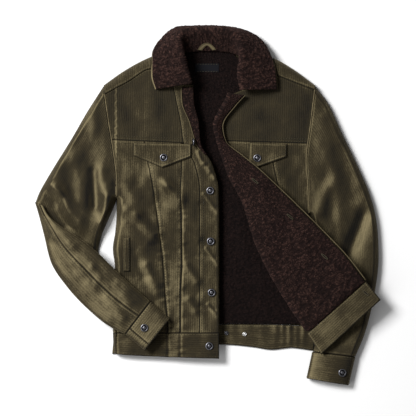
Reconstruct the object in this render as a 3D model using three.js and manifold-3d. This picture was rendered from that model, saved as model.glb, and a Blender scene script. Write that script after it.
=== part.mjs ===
// A corduroy trucker jacket lined with sherpa, laid flat on its back: the left front closed, the
// right front turned back on itself, the left forearm folded over the body. Millimetres, +Z up,
// +X to the right of someone looking down on it, +Y towards the collar, z = 0 the surface it lies
// on. Pieces named left and right lie to that onlooker's left and right, not the wearer's.
import * as THREE from "three";
import { mergeVertices } from "three/addons/utils/BufferGeometryUtils.js";
import Module from "manifold-3d";

const wasm = await Module();
wasm.setup();

// ---- driving dimensions ----
const CLOTH = 2;             // corduroy wall
const PILE = 4;              // sherpa wall, backing and pile
const SEAM = 0.3;            // gap between pieces that are sewn together
const LIE = 0.5;             // gap under a piece that lies on another
const EDGE_ROUND = 16;       // how far in from an edge the top layer is still rounding over
const BODY_LOFT = 22;        // height of the top layer over the under layer, on the body
const SLEEVE_LOFT = 21;      // the same, on the sleeves
const RIM_Z = CLOTH + SEAM;  // where a top layer meets the under layer at a side edge
const BUTTON_D = 17;
const BAND = 4;              // waistband and cuff wall, two layers of corduroy
const WAIST_L = -272;        // the seam between the left body and its waistband
const HEM_L = -324;          // the lower edge of that waistband
const LEFT_PANEL_ROWS = 12;  // rows of cells down the left panels
const PLACKET_TOP = 262;     // where the left placket starts under the collar
const PLACKET_ROWS = 18;     // rows of cells down the placket and the panel beside it
const ROLL_R = 3.2;          // radius the left front edge rolls open round
const ROLL_END_Y = 112;      // where that roll ends
const SHOULDER_PEAK = 0.45;  // where the shoulder seam meets the neck, as a share of the top row
const LINING_GAP = 0.9;      // gap between the right front's cloth and its lining
const SEAM_B_R = 2.72;       // seam between the turned panel and the placket
const YOKE_ROWS = 6;         // rows of cells of the right yoke
const PANEL_ROWS = 16;       // rows of cells of the right panels
const LINING_FROM = 0.72;    // where the right lining starts under the fold
const LINING_SHORT = 0.05;   // how much earlier it ends there than at the waistband seam
const CUFF_SLIT_L = 0.36;    // the left cuff's lapped end, as turns of the tube from its crease
const CUFF_SLIT_R = 0.43;    // the same of the right cuff
const BACK_SEAM_Y = 165;     // the seam between the back yoke and the back panel
const FLAP_THICK = 2.6;      // a pocket flap's wall

/** Rows of numbers as records, with the columns' names in one line. */
const table = (names, rows) => rows.map((row) => Object.fromEntries(
  names.split(" ").map((name, i) => [name, row[i]])));

// ---- outlines, each row a corner of a smooth line ----
// Front armholes, from the shoulder tip to the armpit.
const ARMHOLE_L = [[-225, 258], [-214, 182], [-204, 120], [-197, 64], [-196, 14]];
const ARMHOLE_R = [[233, 258], [223, 176], [214, 104], [217, 52], [221, -22]];
// Edges where the top layer comes down to the under layer.
const SHOULDER_L = [[-225, 258], [-175, 293], [-121, 321], [-60, 340]];
const SHOULDER_R = [[233, 258], [190, 290], [140, 319], [70, 340]];
const SIDE_L = [[-196, 14], [-196, -19], [-199, -55], [-204, -90], [-200, -131], [-203, -200],
  [-204, -265], [-201, -330]];
const SIDE_R = [[221, -22], [224, -100], [226, -200], [227, -318]];
const SLEEVE_OUT_L = [[-225, 258], [-260, 203], [-293, 146], [-329, 88], [-362, 31], [-371, 8]];
const SLEEVE_IN_L = [[-196, 14], [-206, -10], [-217, -35], [-228, -62], [-236, -98], [-238, -128]];
const SLEEVE_OUT_R = [[233, 258], [260, 222], [288, 162], [322, 91], [351, 23], [364, -30],
  [369, -101], [367, -142], [354, -219], [338, -277], [319, -323]];
const SLEEVE_IN_R = [[221, -22], [229, -60], [237, -120], [240, -180], [240, -240], [236, -285],
  [227, -312]];

// Left front, a row for each height: seams from the side to the free edge, and how wide the
// sherpa shows where the edge rolls back.
const LEFT_ROWS = [
  { y: 262, seamA: -168, seamB: -82, placket: -74, edge: -31, roll: 21 },
  { y: 223, seamA: -156, seamB: -76, placket: -66, edge: -29, roll: 21 },
  { y: 180, seamA: -145, seamB: -64, placket: -57, edge: -19, roll: 15 },
  { y: 137, seamA: -134, seamB: -56, placket: -51, edge: -15, roll: 6 },
  { y: 89, seamA: -126, seamB: -55, placket: -26, edge: 11, roll: 0 },
  { y: 35, seamA: -116, seamB: -57, placket: -16, edge: 24, roll: 0 },
  { y: -20, seamA: -108, seamB: -56, placket: -16, edge: 25, roll: 0 },
  { y: -115, seamA: -96, seamB: -55, placket: -16, edge: 25, roll: 0 },
  { y: -200, seamA: -90, seamB: -58, placket: -16, edge: 25, roll: 0 },
  { y: -272, seamA: -85, seamB: -58, placket: -16, edge: 25, roll: 0 },
  { y: -327, seamA: -84, seamB: -58, placket: -16, edge: 25, roll: 0 },
];
// Right front, a row for each stretch of its fold: where the row leaves the armhole or side, the
// fold's border and the free edge, and how high the turned part lies there.
const RIGHT_ROWS = table("at sideY foldX foldY freeX freeY up rise bow", [
  [0.00, 250, 46, 246, 79, 239, 4, 3, 35],
  [0.08, 212, 33, 220, 57, 215, 3, 2, 19],
  [0.17, 166, 13, 174, 31, 172, 2, 1, 3],
  [0.23, 138, 20, 142, 40, 137, 2, 1, 0],
  [0.31, 99, 33, 99, 74, 108, 4, 5, 0],
  [0.38, 60, 47, 62, 104, 84, 5, 7, 0],
  [0.48, 12, 74, 12, 142, 49, 6, 8, 0],
  [0.62, -76, 102, -76, 196, -3, 7, 8, 0],
  [0.75, -150, 137, -150, 253, -60, 8, 10, 0],
  [0.87, -214, 176, -214, 300, -110, 8, 12, 0],
  [1.00, -262, 212, -268, 336, -157, 8, 14, 0],
]);
const YOKE_AT = 0.235;       // the chest seam's place among those rows
const SEAM_A_R = 0.42;       // seam between side and front panel, as a share of the base layer

// Folded left forearm, a row for each stretch from elbow to cuff: the crease edge, the outer edge
// and how high each lies.
const FOREARM_ROWS = table("at creaseX creaseY outX outY creaseZ outZ loft", [
  [0.00, -358, -3, -372, 2, 14, 10, 6],
  [0.10, -340, -21, -363, -20, 16, 3, 11],
  [0.22, -318, -40, -352, -62, 17, 0, 18],
  [0.38, -284, -62, -337, -120, 18, 0, 22],
  [0.55, -239, -96, -300, -176, 20, 1, 23],
  [0.70, -200, -134, -256, -222, 21, 5, 22],
  [0.86, -159, -172, -213, -256, 22, 17, 21],
  [1.00, -123, -204, -177, -274, 22, 20.8, 20],
]);
const CUFF_L_ROWS = table("at creaseX creaseY outX outY creaseZ outZ loft", [
  [0, -123, -204, -177, -274, 22, 20.8, 21],
  [1, -81, -241, -135, -308, 23, 22.8, 26],
]);
const CUFF_R_ROWS = table("at creaseX creaseY outX outY creaseZ outZ loft", [
  [0, 225.5, -312.6, 318.5, -323.5, 0, 0, 20],
  [1, 213, -370, 304, -385, 0, 0, 22],
]);
const FOREARM_SEAM = 0.44;   // the seam along the forearm, as a share of its width from the crease

// Collar, a row for each stretch from the left point round the back neck to the right one: the
// neck seam, the roll line and the fall's outer edge.
const COLLAR_ROWS = table("at neckX neckY neckZ rollX rollY rollZ fallX fallY fallZ", [
  [0.00, -50, 262, 27, -36, 263, 40, -113, 251, 28],
  [0.12, -58, 292, 24, -44, 292, 44, -121, 282, 28],
  [0.24, -62, 318, 17, -53, 325, 46, -120, 328, 22],
  [0.34, -56, 330, 11, -60, 358, 42, -98, 362, 8],
  [0.42, -38, 334, 8, -45, 376, 36, -62, 384, 6],
  [0.52, 4, 336, 8, 2, 378, 34, 2, 386, 5],
  [0.62, 44, 334, 8, 50, 372, 36, 66, 381, 6],
  [0.72, 66, 328, 11, 70, 350, 42, 116, 358, 8],
  [0.80, 82, 316, 17, 73, 322, 46, 138, 324, 20],
  [0.90, 84, 286, 24, 68, 284, 44, 149, 286, 28],
  [1.00, 96, 254, 31, 74, 250, 42, 152, 251, 28],
]);

// Pocket flaps: corners across from the placket side, as x and y from the flap's middle.
const FLAP_HALF = 62;
const FLAP_SIDE = 28;
const FLAP_POINT = 53;
const FLAPS = [
  { name: "left", x: -96.5, y: 136, tilt: -0.02, from: -FLAP_HALF, to: FLAP_HALF },
  { name: "right", x: 109, y: 137, tilt: -0.04, from: -18, to: FLAP_HALF },
];
const FRONT_BUTTONS = [
  { name: "front_button_2", x: 6, y: 34 },
  { name: "front_button_3", x: 7, y: -75 },
  { name: "front_button_4", x: 9, y: -185 },
];

// ---- small geometry helpers ----
const vec = (x, y, z = 0) => new THREE.Vector3(x, y, z);
const mix = (a, b, t) => a + (b - a) * t;
const clamp01 = (t) => Math.min(1, Math.max(0, t));

/** A smooth column of a table: its value at any place between the rows, without overshoot. */
function column(rows, key, along) {
  const flip = rows[0][along] > rows[rows.length - 1][along];
  const sorted = flip ? [...rows].reverse() : rows;
  const slope = sorted.slice(1).map((row, i) =>
    (row[key] - sorted[i][key]) / (row[along] - sorted[i][along]));
  const tangent = sorted.map((_, i) => {
    if (i === 0) return slope[0];
    if (i === sorted.length - 1) return slope[i - 1];
    const product = slope[i - 1] * slope[i];
    return product <= 0 ? 0 : 2 * product / (slope[i - 1] + slope[i]);
  });
  return (at) => {
    let i = 0;
    while (i < sorted.length - 2 && at > sorted[i + 1][along]) i += 1;
    const span = sorted[i + 1][along] - sorted[i][along];
    const t = clamp01((at - sorted[i][along]) / span);
    return sorted[i][key] * (2 * t ** 3 - 3 * t ** 2 + 1)
      + tangent[i] * span * (t ** 3 - 2 * t ** 2 + t)
      + sorted[i + 1][key] * (3 * t ** 2 - 2 * t ** 3) + tangent[i + 1] * span * (t ** 3 - t ** 2);
  };
}

/** A smooth line through corners, as a function of the share of its length. */
function line(corners) {
  const points = corners.map(([x, y]) => vec(x, y));
  const curve = new THREE.CatmullRomCurve3(points, false, "centripetal");
  curve.arcLengthDivisions = 400;
  return (t) => curve.getPointAt(clamp01(t));
}

/** Where a line of falling y crosses a height. */
function crossing(curve, y) {
  let low = 0;
  let high = 1;
  for (let step = 0; step < 40; step += 1) {
    const middle = (low + high) / 2;
    if (curve(middle).y > y) low = middle;
    else high = middle;
  }
  return curve(low).x;
}

/** Distance from a point to the nearest of some lines, each sampled finely. */
function distanceTo(samples) {
  return (x, y) => {
    let best = Infinity;
    for (const points of samples) {
      for (let i = 1; i < points.length; i += 1) {
        const a = points[i - 1];
        const dx = points[i].x - a.x;
        const dy = points[i].y - a.y;
        const t = clamp01(((x - a.x) * dx + (y - a.y) * dy) / (dx * dx + dy * dy));
        best = Math.min(best, Math.hypot(x - a.x - dx * t, y - a.y - dy * t));
      }
    }
    return best;
  };
}

const sampled = (curve, count = 60) =>
  Array.from({ length: count + 1 }, (_, i) => curve(i / count));
const armholeL = line(ARMHOLE_L);
const armholeR = line(ARMHOLE_R);
const sideL = line(SIDE_L);
const sideR = line(SIDE_R);
const shoulderL = line(SHOULDER_L);
const shoulderR = line(SHOULDER_R);
const sleeveOutL = line(SLEEVE_OUT_L);
const sleeveInL = line(SLEEVE_IN_L);
const sleeveOutR = line(SLEEVE_OUT_R);
const sleeveInR = line(SLEEVE_IN_R);

/** The large folds: soft ridges (lift over 0) and troughs from one point to another. */
const FOLDS_L = [
  { x1: -330, y1: 40, x2: -278, y2: -30, wide: 16, lift: 4 },
  { x1: -216, y1: 20, x2: -222, y2: -32, wide: 9, lift: 3 },
  { x1: -245, y1: 75, x2: -243, y2: 0, wide: 11, lift: -4 },
  { x1: -90, y1: 52, x2: -60, y2: 8, wide: 13, lift: 3 },
  { x1: -175, y1: -10, x2: -115, y2: -62, wide: 12, lift: 3 },
];
const FOLDS_R = [
  { x1: 300, y1: -110, x2: 336, y2: -20, wide: 14, lift: -5 },
  { x1: 258, y1: 40, x2: 240, y2: -10, wide: 14, lift: 3 },
];

/** A height over the surface for every place on one half of the jacket's top layer. */
function topHeight(rims, folds, loftAt) {
  const toRim = distanceTo(rims);
  return (x, y) => {
    const s = clamp01(toRim(x, y) / EDGE_ROUND);
    const round = Math.sqrt(s * (2 - s));
    let lift = 0;
    for (const fold of folds) {
      const dx = fold.x2 - fold.x1;
      const dy = fold.y2 - fold.y1;
      const t = clamp01(((x - fold.x1) * dx + (y - fold.y1) * dy) / (dx * dx + dy * dy));
      const off = Math.hypot(x - fold.x1 - dx * t, y - fold.y1 - dy * t) / fold.wide;
      lift += fold.lift * Math.exp(-off * off);
    }
    return RIM_Z + (loftAt(x, y) + lift * s) * round;
  };
}
// Under the folded forearm the upper arm and the body lie flatter.
const creaseLine = sampled((t) => vec(mix(-372, -232, t), mix(6, -106, t)), 4);
const toCrease = distanceTo([creaseLine]);
const heightL = topHeight(
  [sampled(shoulderL), sampled(sideL), sampled(sleeveOutL), sampled(sleeveInL)], FOLDS_L,
  (x, y) => {
    if (x < -197) return mix(7.5, SLEEVE_LOFT, clamp01((toCrease(x, y) - 8) / 45));
    return BODY_LOFT - 6 * clamp01((-y - 90) / 60) * clamp01((-x - 55) / 60);
  });
const heightR = topHeight(
  [sampled(shoulderR), sampled(sideR), sampled(sleeveOutR), sampled(sleeveInR)], FOLDS_R,
  () => SLEEVE_LOFT - 2);

// ---- walls ----
/**
 * A closed wall on a surface. surface(u, v) gives a point; the wall's face away from the body is
 * skin above it and its other face is thick lower, both along the surface's own normal.
 */
function wall({ surface, u = [0, 1], v = [0, 1], nu, nv, thick = CLOTH, skin = 0, side = 1,
  seams = [1, 1, 1, 1], ease = (t) => t, floor = -Infinity }) {
  const STEP = 1e-4;
  const slopeAlong = (a, b, which, range) => {
    const h = STEP * (range[1] - range[0]);
    const at = which === "u" ? a : b;
    const low = Math.max(range[0], at - h);
    const high = Math.min(range[1], at + h);
    const p = which === "u" ? surface(high, b) : surface(a, high);
    const q = which === "u" ? surface(low, b) : surface(a, low);
    return p.sub(q).divideScalar(high - low);
  };
  const outer = [];
  const inner = [];
  for (let i = 0; i <= nu; i += 1) {
    for (let j = 0; j <= nv; j += 1) {
      let a = mix(u[0], u[1], ease(i / nu));
      let b = mix(v[0], v[1], j / nv);
      const pull = (which, range, value, index, count, lowSeam, highSeam) => {
        const size = slopeAlong(a, b, which, range).length();
        const part = SEAM / 2 / Math.max(size, 1e-6);
        if (index === 0) return value + part * lowSeam;
        if (index === count) return value - part * highSeam;
        return value;
      };
      [a, b] = [pull("u", u, a, i, nu, seams[0], seams[1]),
        pull("v", v, b, j, nv, seams[2], seams[3])];
      const normal = slopeAlong(a, b, "v", v).cross(slopeAlong(a, b, "u", u)).normalize();
      normal.multiplyScalar(side);
      const point = surface(a, b);
      const top = point.clone().addScaledVector(normal, skin);
      const low = point.clone().addScaledVector(normal, skin - thick);
      low.z = Math.max(low.z, floor);
      top.z = Math.max(top.z, floor);
      outer.push(top);
      inner.push(low);
    }
  }
  return closedWall(outer, inner, nu, nv);
}

/** Joins two grids of points, face to face, into one closed geometry. */
function closedWall(outer, inner, nu, nv) {
  const points = [...outer, ...inner];
  const shift = outer.length;
  const at = (i, j, layer) => layer * shift + i * (nv + 1) + j;
  const index = [];
  const quad = (a, b, c, d) => index.push(a, b, c, a, c, d);
  for (let i = 0; i < nu; i += 1) {
    for (let j = 0; j < nv; j += 1) {
      quad(at(i, j, 0), at(i + 1, j, 0), at(i + 1, j + 1, 0), at(i, j + 1, 0));
      quad(at(i, j, 1), at(i, j + 1, 1), at(i + 1, j + 1, 1), at(i + 1, j, 1));
    }
  }
  for (let i = 0; i < nu; i += 1) {
    quad(at(i, 0, 1), at(i + 1, 0, 1), at(i + 1, 0, 0), at(i, 0, 0));
    quad(at(i, nv, 0), at(i + 1, nv, 0), at(i + 1, nv, 1), at(i, nv, 1));
  }
  for (let j = 0; j < nv; j += 1) {
    quad(at(0, j, 0), at(0, j + 1, 0), at(0, j + 1, 1), at(0, j, 1));
    quad(at(nu, j, 1), at(nu, j + 1, 1), at(nu, j + 1, 0), at(nu, j, 0));
  }
  return geometryOf(points, index);
}

/** A geometry from points and triangles, turned outwards if its volume says it is inside out. */
function geometryOf(points, index) {
  let volume = 0;
  for (let i = 0; i < index.length; i += 3) {
    const [a, b, c] = [points[index[i]], points[index[i + 1]], points[index[i + 2]]];
    volume += a.dot(b.clone().cross(c));
  }
  const turned = volume > 0 ? index
    : index.map((_, i) => index[i % 3 === 1 ? i + 1 : i % 3 === 2 ? i - 1 : i]);
  const geometry = new THREE.BufferGeometry();
  const flat = points.flatMap((p) => [p.x, p.y, p.z]);
  geometry.setAttribute("position", new THREE.Float32BufferAttribute(flat, 3));
  geometry.setIndex(turned);
  return geometry;
}

/** A flat plate between two heights, from an outline of points. */
function plate(outline, zLow, zHigh) {
  const shape = new THREE.Shape(outline.map((p) => new THREE.Vector2(p.x, p.y)));
  const geometry = new THREE.ExtrudeGeometry(shape, { depth: zHigh - zLow, bevelEnabled: false });
  return geometry.translate(0, 0, zLow);
}

/** Joins closed geometries that overlap into one solid. */
function joined(geometries) {
  const solids = geometries.map((geometry) => {
    const bare = geometry.clone();
    bare.deleteAttribute("normal");
    bare.deleteAttribute("uv");
    const merged = mergeVertices(bare, 1e-3);
    return new wasm.Manifold(new wasm.Mesh({
      numProp: 3,
      vertProperties: new Float32Array(merged.attributes.position.array),
      triVerts: new Uint32Array(merged.index.array),
    }));
  });
  const mesh = solids.reduce((all, solid) => all.add(solid)).getMesh();
  const geometry = new THREE.BufferGeometry();
  geometry.setAttribute("position", new THREE.Float32BufferAttribute(mesh.vertProperties, 3));
  geometry.setIndex([...mesh.triVerts]);
  return geometry;
}

// ---- finishes ----
const cloth = (color) => new THREE.MeshStandardMaterial({ color, roughness: 0.9, metalness: 0 });
const CORDUROY = cloth(0x5a5238);
const CORDUROY_EDGE = cloth(0x7a7152);
const SHERPA = cloth(0x35241f);
const LABEL_CLOTH = cloth(0x15171d);
const GUNMETAL = new THREE.MeshStandardMaterial({ color: 0x6a6a78, roughness: 0.35, metalness: 1 });

const jacket = new THREE.Group();
function piece(name, geometry, material) {
  const mesh = new THREE.Mesh(geometry, material);
  mesh.name = name;
  jacket.add(mesh);
}

// ---- left front ----
const leftColumn = Object.fromEntries(["seamA", "seamB", "placket", "edge", "roll"]
  .map((key) => [key, column(LEFT_ROWS, key, "y")]));
const armpitY = 14;
const leftSideX = (y) => (y > armpitY ? crossing(armholeL, y) + 0.7 : crossing(sideL, y));
const CHEST_L = { x1: -197, y1: 143, x2: -22, y2: 135 };
const chestY = (x) => mix(CHEST_L.y1, CHEST_L.y2, (x - CHEST_L.x1) / (CHEST_L.x2 - CHEST_L.x1));

/** A panel of the left front between two of its seams, from the chest seam to the waist seam. */
function leftPanel(from, to) {
  return (u, v) => {
    const top = chestY(mix(from.x(140), to.x(140), u));
    const y = mix(top, WAIST_L, v);
    const x = mix(from.x(y), to.x(y), u);
    return vec(x, y, heightL(x, y));
  };
}
const LINES = {
  side: { x: leftSideX },
  seamA: { x: leftColumn.seamA },
  seamB: { x: leftColumn.seamB },
};
const towardsRim = (t) => 1 - Math.cos(t * Math.PI / 2);
piece("left_side_panel", wall({ surface: leftPanel(LINES.side, LINES.seamA), nu: 7,
  nv: LEFT_PANEL_ROWS, seams: [0, 1, 1, 1], ease: towardsRim, floor: RIM_Z }), CORDUROY);
piece("left_middle_panel", wall({ surface: leftPanel(LINES.seamA, LINES.seamB), nu: 5,
  nv: LEFT_PANEL_ROWS, v: [0, 1] }), CORDUROY);
// The centre panel runs out under the flap; its rows are the placket's, so that they keep apart.
const centreTop = mix(PLACKET_TOP, WAIST_L, 5 / PLACKET_ROWS);
piece("left_centre_panel", wall({ surface: (u, v) => {
  const y = mix(centreTop, WAIST_L, v);
  const x = mix(leftColumn.seamB(y), leftColumn.placket(y), u);
  return vec(x, y, heightL(x, y));
}, nu: 3, nv: PLACKET_ROWS - 5 }), CORDUROY);

/** The yoke of one front: columns from the armhole to the front, rows from the shoulder down. */
const YOKE_COLUMNS_L = [
  { at: 0, topX: -223, topY: 241, lowX: -207 },
  { at: 0.3, topX: -172, topY: 268, lowX: -160 },
  { at: 0.62, topX: -121, topY: 296, lowX: -110 },
  { at: 0.82, topX: -92, topY: 280, lowX: -77 },
  { at: 1, topX: -74, topY: 262, lowX: -51 },
];
function yokeSurface(columns, height, sideCurve, innerLine) {
  const get = Object.fromEntries(["topX", "topY", "lowX"]
    .map((key) => [key, column(columns, key, "at")]));
  return (u, v) => {
    const y = mix(get.topY(u), chestY(get.lowX(u)), v);
    let x = mix(get.topX(u), get.lowX(u), v);
    const nearSide = clamp01(1 - u / 0.3);
    x += (sideCurve(y) - mix(columns[0].topX, columns[0].lowX, v)) * nearSide ** 2;
    if (innerLine) {
      const last = columns[columns.length - 1];
      const nearFront = clamp01((u - 0.7) / 0.3);
      x += (innerLine(y) - mix(last.topX, last.lowX, v)) * nearFront ** 2;
    }
    return vec(x, y, height(x, y));
  };
}
const yokeL = yokeSurface(YOKE_COLUMNS_L, heightL, leftSideX, leftColumn.placket);
piece("left_yoke", wall({ surface: yokeL, nu: 8, nv: 6 }), CORDUROY);

/** The left placket: flat to the edge, then round it and back where the edge rolls open. */
function edgeRoll(y, w, inside) {
  // w: 0..1 across the top, 1..2 round the edge, 2..3 along the layer below.
  const edge = leftColumn.edge(y) - ROLL_R;
  const z = heightL(edge, y);
  if (w <= 1) return { x: mix(inside, edge, w), z: null };
  const turn = Math.min(w - 1, 1) * Math.PI;
  const low = Math.max(w - 2, 0);
  return { x: edge + ROLL_R * Math.sin(turn) - 16 * low, z: z - ROLL_R * (1 - Math.cos(turn)) };
}
function placketSurface(u, v) {
  const y = mix(PLACKET_TOP, WAIST_L, v);
  const place = edgeRoll(y, u, leftColumn.placket(y));
  return vec(place.x, y, place.z === null ? heightL(place.x, y) : place.z);
}
// How the placket's eight columns are spread: three to the edge, the rest round the roll.
const FLAT_COLUMNS = 0.375;
const FLAT_SHARE = 0.425;
piece("left_placket", wall({ surface: placketSurface, u: [0, 2.35], nu: 8, nv: PLACKET_ROWS,
  ease: (t) => (t < FLAT_COLUMNS ? t / FLAT_COLUMNS * FLAT_SHARE
    : mix(FLAT_SHARE, 1, (t - FLAT_COLUMNS) / (1 - FLAT_COLUMNS))) }), CORDUROY);

// The sherpa that shows where the left edge rolls open lies on the placket, edge to edge.
function rolledLining(u, v) {
  const y = mix(256, ROLL_END_Y, v);
  const edge = leftColumn.edge(y) + 0.5;
  const inside = edge - leftColumn.roll(y) - 3;
  const x = mix(inside, edge, u);
  return vec(x, y, heightL(Math.min(x, edge - ROLL_R - 0.5), y) + LIE);
}
piece("left_lining_roll", wall({ surface: rolledLining, nu: 5, nv: 8, skin: PILE, thick: PILE }),
  SHERPA);
const rolledEdge = (u, v) => {
  const y = mix(255, ROLL_END_Y + 8, v);
  const inside = leftColumn.edge(y) - leftColumn.roll(y) - 3;
  const x = inside - 0.5 - CLOTH + CLOTH * u;
  return vec(x, y, heightL(x, y) + LIE);
};
piece("left_edge_binding", wall({ surface: rolledEdge, nu: 2, nv: 12, skin: PILE + 1,
  thick: PILE + 1 }), CORDUROY_EDGE);

/** A straight band of two layers: the waistband's left front part. */
function waistbandLeft(u, v) {
  const y = mix(WAIST_L, mix(-316, HEM_L - 3, Math.sqrt(u)), v);
  const x = mix(leftSideX(y), leftColumn.edge(y), u);
  return vec(x, y, heightL(x, y));
}
piece("left_waistband", wall({ surface: waistbandLeft, nu: 12, nv: 3, thick: BAND,
  seams: [0, 1, 1, 0], ease: towardsRim, floor: RIM_Z + 2.3 }), CORDUROY);

// ---- right front ----
const R = Object.fromEntries(["sideY", "foldX", "foldY", "freeX", "freeY", "up", "rise", "bow"]
  .map((key) => [key, column(RIGHT_ROWS, key, "at")]));
const rightSideX = (y) => (y > -22 ? crossing(armholeR, y) - 0.9 : crossing(sideR, y));
const LINING_OUT = CLOTH + LINING_GAP + PILE;

/** The right front's face: base layer, roll and turned layer, as one run u = 0..1, 1..2, 2..3. */
function rightFront(u, v) {
  const fold = vec(R.foldX(v), R.foldY(v));
  const ahead = vec(R.foldX(Math.min(1, v + 0.01)), R.foldY(Math.min(1, v + 0.01)));
  const behind = vec(R.foldX(Math.max(0, v - 0.01)), R.foldY(Math.max(0, v - 0.01)));
  const along = ahead.sub(behind).normalize();
  const inward = vec(-along.y, along.x);
  const radius = R.up(v) / 2;
  const centre = fold.clone().addScaledVector(inward, radius + LINING_OUT);
  const base = heightR(centre.x, centre.y);
  if (u <= 1) {
    const y = mix(R.sideY(v), centre.y, u)
      + R.bow(v) * Math.min(u / SHOULDER_PEAK, (1 - u) / (1 - SHOULDER_PEAK));
    const x = mix(rightSideX(R.sideY(v)), centre.x, u);
    return vec(x, y, mix(heightR(x, y), base, clamp01((u - 0.6) / 0.4) ** 2));
  }
  if (u <= 2) {
    const turn = (u - 1) * Math.PI;
    return vec(centre.x - inward.x * radius * Math.sin(turn),
      centre.y - inward.y * radius * Math.sin(turn), base + radius * (1 - Math.cos(turn)));
  }
  const t = u - 2;
  const crown = 3 * Math.sin(Math.PI * t) * clamp01((v - 0.25) / 0.2);
  return vec(mix(centre.x, R.freeX(v), t), mix(centre.y, R.freeY(v), t),
    base + 2 * radius + crown + R.rise(v) * t);
}
function rightRow(t) {
  const row = t * (YOKE_ROWS + PANEL_ROWS);
  return row < YOKE_ROWS ? mix(0, YOKE_AT, row / YOKE_ROWS)
    : mix(YOKE_AT, 1, (row - YOKE_ROWS) / PANEL_ROWS);
}
piece("right_side_panel", wall({ surface: rightFront, u: [0, SEAM_A_R], v: [YOKE_AT, 0.93], nu: 6,
  nv: 12, side: -1, seams: [0, 1, 1, 1], ease: towardsRim, floor: RIM_Z }), CORDUROY);
piece("right_front_panel", wall({ surface: rightFront, u: [SEAM_A_R, SEAM_B_R], v: [YOKE_AT, 1],
  nu: 13, nv: 16, side: -1, seams: [1, 1, 1, 1], ease: spreadPanel }), CORDUROY);
function spreadPanel(t) {
  // More columns round the roll, fewer on the flat layers.
  const rollFrom = (1 - SEAM_A_R) / (SEAM_B_R - SEAM_A_R);
  const rollTo = (2 - SEAM_A_R) / (SEAM_B_R - SEAM_A_R);
  if (t < 4 / 13) return t * 13 / 4 * rollFrom;
  if (t < 9 / 13) return mix(rollFrom, rollTo, (t * 13 - 4) / 5);
  return mix(rollTo, 1, (t * 13 - 9) / 4);
}
piece("right_placket", wall({ surface: rightFront, u: [SEAM_B_R, 3], v: [YOKE_AT, 1], nu: 3, nv: 16,
  side: -1 }), CORDUROY);
piece("right_yoke", wall({ surface: rightFront, u: [0, 3], v: [0, YOKE_AT], nu: 18, nv: 6, side: -1,
  ease: spreadYoke }), CORDUROY);
function spreadYoke(t) {
  if (t < 10 / 18) return t * 18 / 10 / 3;
  if (t < 15 / 18) return mix(1 / 3, 2 / 3, (t * 18 - 10) / 5);
  return mix(2 / 3, 1, (t * 18 - 15) / 3);
}
// Its lining, over the turned layer and round the fold to just underneath.
function spreadLining(t) {
  const span = 3 - LINING_FROM;
  if (t < 2 / 13) return t * 13 / 2 * (1 - LINING_FROM) / span;
  if (t < 7 / 13) return mix((1 - LINING_FROM) / span, (2 - LINING_FROM) / span, (t * 13 - 2) / 5);
  return mix((2 - LINING_FROM) / span, 1, (t * 13 - 7) / 6);
}
// Inside the fold it ends a little short of the waistband, clear of the side's rounded edge.
const liningRow = (u, v) => {
  const row = rightRow(v);
  return row - LINING_SHORT * (1 - clamp01((u - 1) / 0.9)) * clamp01((row - 0.85) / 0.15) ** 2;
};
piece("right_lining", wall({ surface: (u, v) => rightFront(u, liningRow(u, v)),
  u: [LINING_FROM, 2.985], nu: 13, nv: YOKE_ROWS + PANEL_ROWS, side: -1,
  skin: -CLOTH - LINING_GAP, thick: PILE, ease: spreadLining, seams: [0, 0, 0, 1] }), SHERPA);
// The placket's edge, folded over the lining.
piece("right_edge_binding", wall({ surface: (u, v) => {
  const at = rightFront(3, rightRow(v));
  const back = rightFront(2.9, rightRow(v));
  const out = at.clone().sub(back).setZ(0).normalize();
  return at.addScaledVector(out, LINING_GAP + CLOTH * u);
}, u: [0, 1], v: [0, 1], nu: 1, nv: YOKE_ROWS + PANEL_ROWS, side: -1, skin: 0,
thick: LINING_OUT - 1, seams: [0, 0, 0, 0] }), CORDUROY_EDGE);

// The turned part of the waistband, its inner face up.
const BAND_TURN = [
  { at: 0, topX: 214, topY: -273, lowX: 244, lowY: -318 },
  { at: 1, topX: 339, topY: -160, lowX: 371, lowY: -200 },
];
function waistbandTurned(u, v) {
  const [start, end] = BAND_TURN.map(({ topX, topY, lowX, lowY }) =>
    vec(mix(topX, lowX, v), mix(topY, lowY, v)));
  const face = rightFront(2 + u, 1);
  return vec(mix(start.x, end.x, u), mix(start.y, end.y, u), face.z + BAND);
}
piece("right_waistband", wall({ surface: waistbandTurned, u: [0, 1], nu: 8, nv: 3, thick: BAND,
  side: 1, seams: [0, 0, 2, 0] }), CORDUROY);


// ---- sleeves ----
const roundEnds = (t) => (1 - Math.cos(t * Math.PI)) / 2;

/** The top of an upper arm or whole sleeve, from the armhole down, out edge at u = 0. */
function sleeveSurface(out, inn, hole, height) {
  return (u, v) => {
    const start = hole(u);
    const chord = out(0).lerp(inn(0), u);
    const point = out(v).lerp(inn(v), u).add(start.sub(chord).multiplyScalar((1 - v) ** 3));
    return vec(point.x, point.y, height(point.x, point.y));
  };
}
const sleeveL = sleeveSurface(sleeveOutL, sleeveInL, armholeL, heightL);
piece("left_upper_sleeve", wall({ surface: sleeveL, nu: 9, nv: 10, ease: roundEnds,
  seams: [0, 0, 2, 0], floor: RIM_Z }), CORDUROY);
const sleeveR = sleeveSurface(sleeveOutR, sleeveInR, armholeR, heightR);
piece("right_top_sleeve", wall({ surface: sleeveR, nu: 9, nv: 13, ease: roundEnds, side: -1,
  seams: [0, 0, 2, 0], floor: RIM_Z }), CORDUROY);
const under = (out, inn, hole, shift) => [
  ...sampled(hole, 10).map((p) => p.add(vec(shift, 0))),
  ...sampled(inn, 10).slice(1),
  ...sampled(out, 14).slice(1).reverse(),
];
piece("left_under_sleeve",
  plate(under(sleeveOutL, sleeveInL, armholeL, -SEAM), 0, CLOTH), CORDUROY);
piece("right_under_sleeve",
  plate(under(sleeveOutR, sleeveInR, armholeR, SEAM), 0, CLOTH), CORDUROY);

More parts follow.
